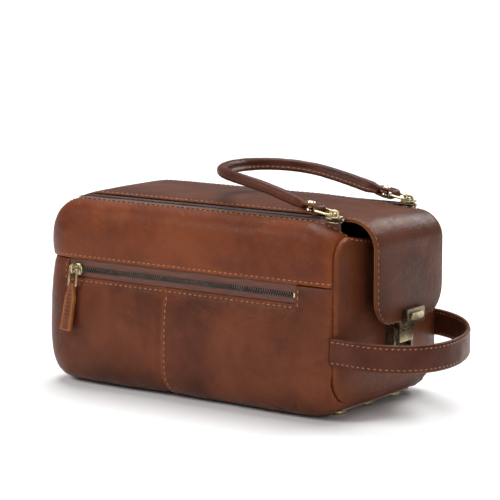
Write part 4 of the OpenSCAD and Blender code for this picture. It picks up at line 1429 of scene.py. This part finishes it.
def zip_slider(node, at, along, out, pivot_h, bail_dir):
    """A slider: two plates joined by a wedge, side flanges, and an arched bail for the pull or ring."""
    across = np.cross(out, along)
    axes = (along, across, out)
    pieces = [prism(node + "_a", SLIDER_SHAPE, axes, at, 1.35, 2.45, BRASS, 0.35),
              prism(node + "_b", SLIDER_SHAPE, axes, at, -2.3, -1.35, BRASS, 0.3),
              prism(node + "_c", [(2.4, -0.5), (5.2, -0.7), (5.2, 0.7), (2.4, 0.5)], axes, at, -1.6, 1.6,
                    BRASS, 0.1)]
    for k in (-1, 1):
        flange = [(-4.2, k * 4.2), (-4.2, k * 3.5), (1.0, k * 4.2), (1.0, k * 4.75)][::k]
        pieces.append(prism(node + f"_d{k}", flange, axes, at, 0.4, 2.2, BRASS, 0.15))
    a = np.linspace(0, math.pi, 17)[:, None]
    foot, reach = 2.0, 3.6
    height = pivot_h + 2.3 - foot
    path = at + bail_dir * reach * np.cos(a) + out * (foot + height * np.abs(np.sin(a)) ** 0.7)
    pieces.append(rod(node + "_e", path, 0.95, BRASS))
    obj = join(node + "_metal", pieces)
    finish_piece(obj, node, "antique_brass", node)


TILT = math.radians(10)
HANDLE_AWAY = np.array([-math.cos(TILT), 0, math.sin(TILT)])
HANDLE_UP = np.array([math.sin(TILT), 0, math.cos(TILT)])
RING_LEN = 13.0
RIVET_AT = RING_LEN + 12 - 5.2


WIRE_R = 0.9
LOOP_R = 2.75
LOOP_HALF_W = 5.2
RIVET_H = 3.3
LOOP_ROWS = 3.6
RIVET_DOME = [(2.6, -3.6), (3.2, -0.25), (3.3, 0.15), (3.15, 0.5), (2.7, 0.85), (1.9, 1.2),
              (1.0, 1.4), (0.05, 1.46)]


def ring_wire(name, at):
    """A rectangular wire ring with round corners, reaching away from the slider's bail."""
    half, r = 6.5, 2.0
    path = []
    centres = [(r, r - half), (RING_LEN - r, r - half), (RING_LEN - r, half - r), (r, half - r)]
    for n, (d, w) in enumerate(centres):
        for q in np.linspace(0, math.pi / 2, 6):
            a = [math.pi, 1.5 * math.pi, 0, 0.5 * math.pi][n] + q
            path.append(at + HANDLE_AWAY * (d + r * math.cos(a)) + ACROSS * (w + r * math.sin(a)))
    return rod(name, np.array(path + path[:2]), WIRE_R, BRASS)


def folded_loop(name, at):
    """The leather loop folded round the ring's far side, with a row of stitches at each edge."""
    a = np.linspace(math.pi / 2, -math.pi / 2, 13)
    top = [(RING_LEN + 13.2, 2.3), (RING_LEN + 10, 2.45), (RING_LEN + 7, 2.6), (RING_LEN + 3.5, LOOP_R)]
    fold = [(RING_LEN - LOOP_R * math.cos(q), LOOP_R * math.sin(q)) for q in a]
    side_line = np.array(top + fold + [(d, -h) for d, h in top[::-1]])
    centre_line = at + side_line[:, :1] * HANDLE_AWAY + side_line[:, 1:] * HANDLE_UP
    out = unit(np.cross(unit(np.gradient(centre_line, axis=0)), ACROSS))
    half_w = np.interp(side_line[:, 0], [RING_LEN, RING_LEN + 7, RING_LEN + 13], [4.8, LOOP_HALF_W, 4.2])
    k = np.linspace(-1, 1, 9)[None, :, None]
    droop = out * np.sign(out @ HANDLE_UP)[:, None]
    rows = centre_line[:, None] + ACROSS * k * half_w[:, None, None] - droop[:, None] * 0.25 * np.abs(k) ** 3
    wear = np.zeros(rows.shape[:2])
    wear[:, [0, -1]] = 0.8
    loop = make(f"{name}_loop_leather", rows, grid_faces(*rows.shape[:2]), STRAP, wear)
    thicken(loop, 1.5, 0.0, 0.35)
    finish_piece(loop, "handle", "strap_leather", f"{name}_handle_loop")
    stitches = Stitches(f"{name}_loop_stitches", "handle")
    d = np.linspace(RING_LEN + 1, RING_LEN + 12.5, 8)[:, None]
    for y in (-LOOP_ROWS, LOOP_ROWS):
        line = at + HANDLE_AWAY * d + HANDLE_UP * 3.35 + ACROSS * y
        stitches.row(line, np.repeat(HANDLE_UP[None], 8, 0), pitch=3.4, length=2.6, width=0.4, lift=0.05)
    stitches.done()


def handle_ends():
    """At each end of the handle: a ring, a folded loop with its rivet, and the zip slider that holds them."""
    pivot_x, pivot_z = RING_HIGH[0] - WIRE_R, RING_LOW[2] + WIRE_R
    rings, rivets = [], []
    for name, side in (("front", -1), ("back", 1)):
        at = np.array([pivot_x, side * abs(HANDLE_Y), pivot_z])
        rings.append(ring_wire(f"{name}_ring", at))
        folded_loop(name, at)
        for k in (-1, 1):
            rivet_at = at + HANDLE_AWAY * RIVET_AT + HANDLE_UP * RIVET_H * k
            rivets.append(lathe(f"{name}_rivet{k}", rivet_at, HANDLE_UP * k, RIVET_DOME, PALE_BRASS))
    finish_piece(join("handle_ring_wire", rings), "handle", "antique_brass", "handle_rings")
    finish_piece(join("handle_rivet_domes", rivets), "handle", "bright_brass", "handle_rivets")
    chain_z = zip_rise(SLIDER_X)
    for name, side in (("front_slider", -1), ("back_slider", 1)):
        zip_slider(name, np.array([SLIDER_X, side * ZIP_Y, chain_z]), ALONG, UP, pivot_z - chain_z, ALONG)


def pocket_zip_slider():
    low, high = corners("pocket_slider")
    y = middle("pocket_teeth_upper")[1]
    at = np.array([(low[0] + high[0]) / 2, y, (low[2] + high[2]) / 2])
    zip_slider("pocket_slider", at, -ALONG, -ACROSS, y - (low[1] + 2.2), UP)


def dress(node, material, bevel=0.0):
    """Gives a CAD node its material, and round edges."""
    obj = frame["nodes"][node]
    obj.data.materials.clear()
    obj.data.materials.append(material)
    if bevel:
        weld = obj.modifiers.new("weld", "WELD")
        weld.merge_threshold = 0.00002
        round_edges(obj, bevel, 2, 35)




def pull_tab():
    """The folded leather tab: thin at the pull's bar, wider below, with pale cut edges."""
    low, high = corners("pocket_tab")
    x = (low[0] + high[0]) / 2
    top = np.array([x, (corners("pocket_pull")[0][1] + 0.9), corners("pocket_pull")[0][2] + 0.9])
    end = np.array([x - 3.0, low[1] + 1.6, low[2] + 0.2])
    axis = unit(end - top)
    across = unit(np.array([1.0, 0, 0]) - axis * axis[0])
    out = np.cross(across, axis)
    out = out if out[1] < 0 else -out
    length = np.linalg.norm(end - top)
    d = np.concatenate([[-2.2, -1.9, -1.2], steps(0, length - 1.2, 1.5), [length - 0.5, length]])
    half = np.interp(d, [-2.2, 0, 3, 8, length], [2.2, 2.3, 2.6, 4.3, 5.0])
    thick = np.interp(d, [-2.2, -1.9, -1.2, 0, 4, length - 0.5, length], [0.4, 1.2, 1.9, 2.3, 1.7, 1.6, 1.2])
    profile = np.array([(1, -0.55), (1, 0.55), (0.93, 1), (0.35, 0.92), (0, 0.86), (-0.35, 0.92),
                        (-0.93, 1), (-1, 0.55), (-1, -0.55), (-0.93, -1), (0, -0.9), (0.93, -1)])
    rings = top + axis * d[:, None, None] + across * (profile[:, 0] * half[:, None])[..., None] \
        + out * (profile[:, 1] * thick[:, None])[..., None]
    rings += out * (0.2 * lumps(rings, 7, 87))[..., None]
    count, sides = rings.shape[:2]
    faces = grid_faces(count, sides, close_cols=True)
    faces += [list(range(sides)), [(count - 1) * sides + k for k in range(sides)]]
    wear = np.tile(np.where(np.abs(profile[:, 0]) > 0.9, 1.0, 0.0), (count, 1))
    wear[-2:] = 0.9
    obj = make("pull_tab_leather", rings, faces, TAB, wear, closed=True)
    round_edges(obj, 0.3, 2, 50)
    finish_piece(obj, "pocket_tab", "strap_leather", "pocket_tab")
    rows = Stitches("pull_tab_stitches", "pocket_tab")
    for k in (-0.22, 0.22):
        line = [top + axis * q + across * k * np.interp(q, [0, 8, length], [2.3, 4.3, 5.0]) * 1.2 + out * 1.55
                for q in np.linspace(4, length - 3, 12)]
        rows.row(line, np.repeat(out[None], 12, 0), pitch=3.0, length=2.3, width=0.32, lift=-0.02)
    rows.done(DARK_THREAD)


# the metal and hidden pieces that keep their CAD shape, each with its material and edge radius
DRESSED = (
    (BRASS, 0, ("pocket_zip_stops", "foot_washers", "keeper_backing", "lock_rivets", "keeper_rivets",
                "pocket_pull")),
    (BRASS, 0.5, ("lock_button",)),
    (BRASS, 0.3, ("lock_tongue", "base_feet")),
    (DARK_BRASS, 0.6, ("lock_case",)),
    (DARK_BRASS, 0.4, ("keeper",)),
    (LINING, 0, ("pocket_bag",)),
    (BOARD, 0, ("base_board",)),
    (SPRING_STEEL, 0, ("lock_spring",)),
)

handle_ends()
pocket_zip_slider()
pull_tab()
for material, bevel, nodes in DRESSED:
    for node in nodes:
        dress(node, material, bevel)


# ---------------------------------------------------------------- camera, light and floor


CAMERA_TURN, CAMERA_RISE, CAMERA_AWAY = 35.6, 10.2, 1650.0
AIM_HEIGHT, AIM_RIGHT, AIM_UP = 70.0, 11.0, 32.3
LENS, FILM_WIDTH = 158.4, 36.0
FLOOR_HALF = 6.0


def link(name, data, at=(0, 0, 0), turned=(0, 0, 0)):
    obj = bpy.data.objects.new(name, data)
    obj.location = at
    obj.rotation_euler = turned
    bpy.context.scene.collection.objects.link(obj)
    return obj


def facing(at, aim):
    """The rotation that points a camera or a lamp at a place."""
    return (Vector(aim) - Vector(at)).to_track_quat("-Z", "Y").to_euler()


def look():
    """The camera: turned round the bag and raised as in the photo, with the bag a little left and below."""
    turn, rise = math.radians(CAMERA_TURN), math.radians(CAMERA_RISE)
    back = np.array([math.sin(turn) * math.cos(rise), -math.cos(turn) * math.cos(rise), math.sin(rise)])
    right = np.array([math.cos(turn), math.sin(turn), 0])
    centre = np.array([0, 0, AIM_HEIGHT])
    at = world(*(centre + back * CAMERA_AWAY))
    aim = world(*(centre + right * AIM_RIGHT + np.cross(back, right) * AIM_UP))
    data = bpy.data.cameras.new("camera")
    data.lens = LENS
    data.sensor_width = FILM_WIDTH
    data.clip_start = 0.05
    bpy.context.scene.camera = link("camera", data, at, facing(at, aim))


def softbox(name, at, aim, size, power):
    data = bpy.data.lights.new(name, "AREA")
    data.shape = "RECTANGLE"
    data.size, data.size_y = size
    data.energy = power
    link(name, data, at, facing(at, aim))


def studio():
    """A white floor under an overcast sky, with a key, a rim and a side light."""
    mesh = bpy.data.meshes.new("floor")
    sides = [(-1, -1), (1, -1), (1, 1), (-1, 1)]
    mesh.from_pydata([(x * FLOOR_HALF, y * FLOOR_HALF, 0) for x, y in sides], [], [(0, 1, 2, 3)])
    n = Nodes("floor_white", 0.7)
    n.colour(n.ramp(n.noise(2, 1), (0.3, 0.88), (0.7, 0.9)))
    mesh.materials.append(n.material)
    link("floor", mesh)
    world_light = bpy.data.worlds.new("studio")
    world_light.use_nodes = True
    background = world_light.node_tree.nodes["Background"]
    background.inputs["Color"].default_value = (1, 1, 1, 1)
    background.inputs["Strength"].default_value = 0.3
    bpy.context.scene.world = world_light
    sky = bpy.data.lights.new("sky", "SUN")
    sky.energy, sky.angle = 3.0, math.radians(42)
    link("sky", sky, turned=(math.radians(-16), math.radians(-8), 0))
    softbox("key", (-0.75, -1.3, 1.15), (0, 0, 0.06), (0.6, 0.8), 16)
    softbox("rim", (0.3, 1.3, 0.95), (0.05, 0, 0.1), (0.7, 0.4), 10)
    softbox("side", (1.5, -0.9, 0.6), (0.05, 0, 0.08), (0.35, 0.9), 4.5)


look()
bpy.context.scene.view_settings.view_transform = "Standard"
studio()
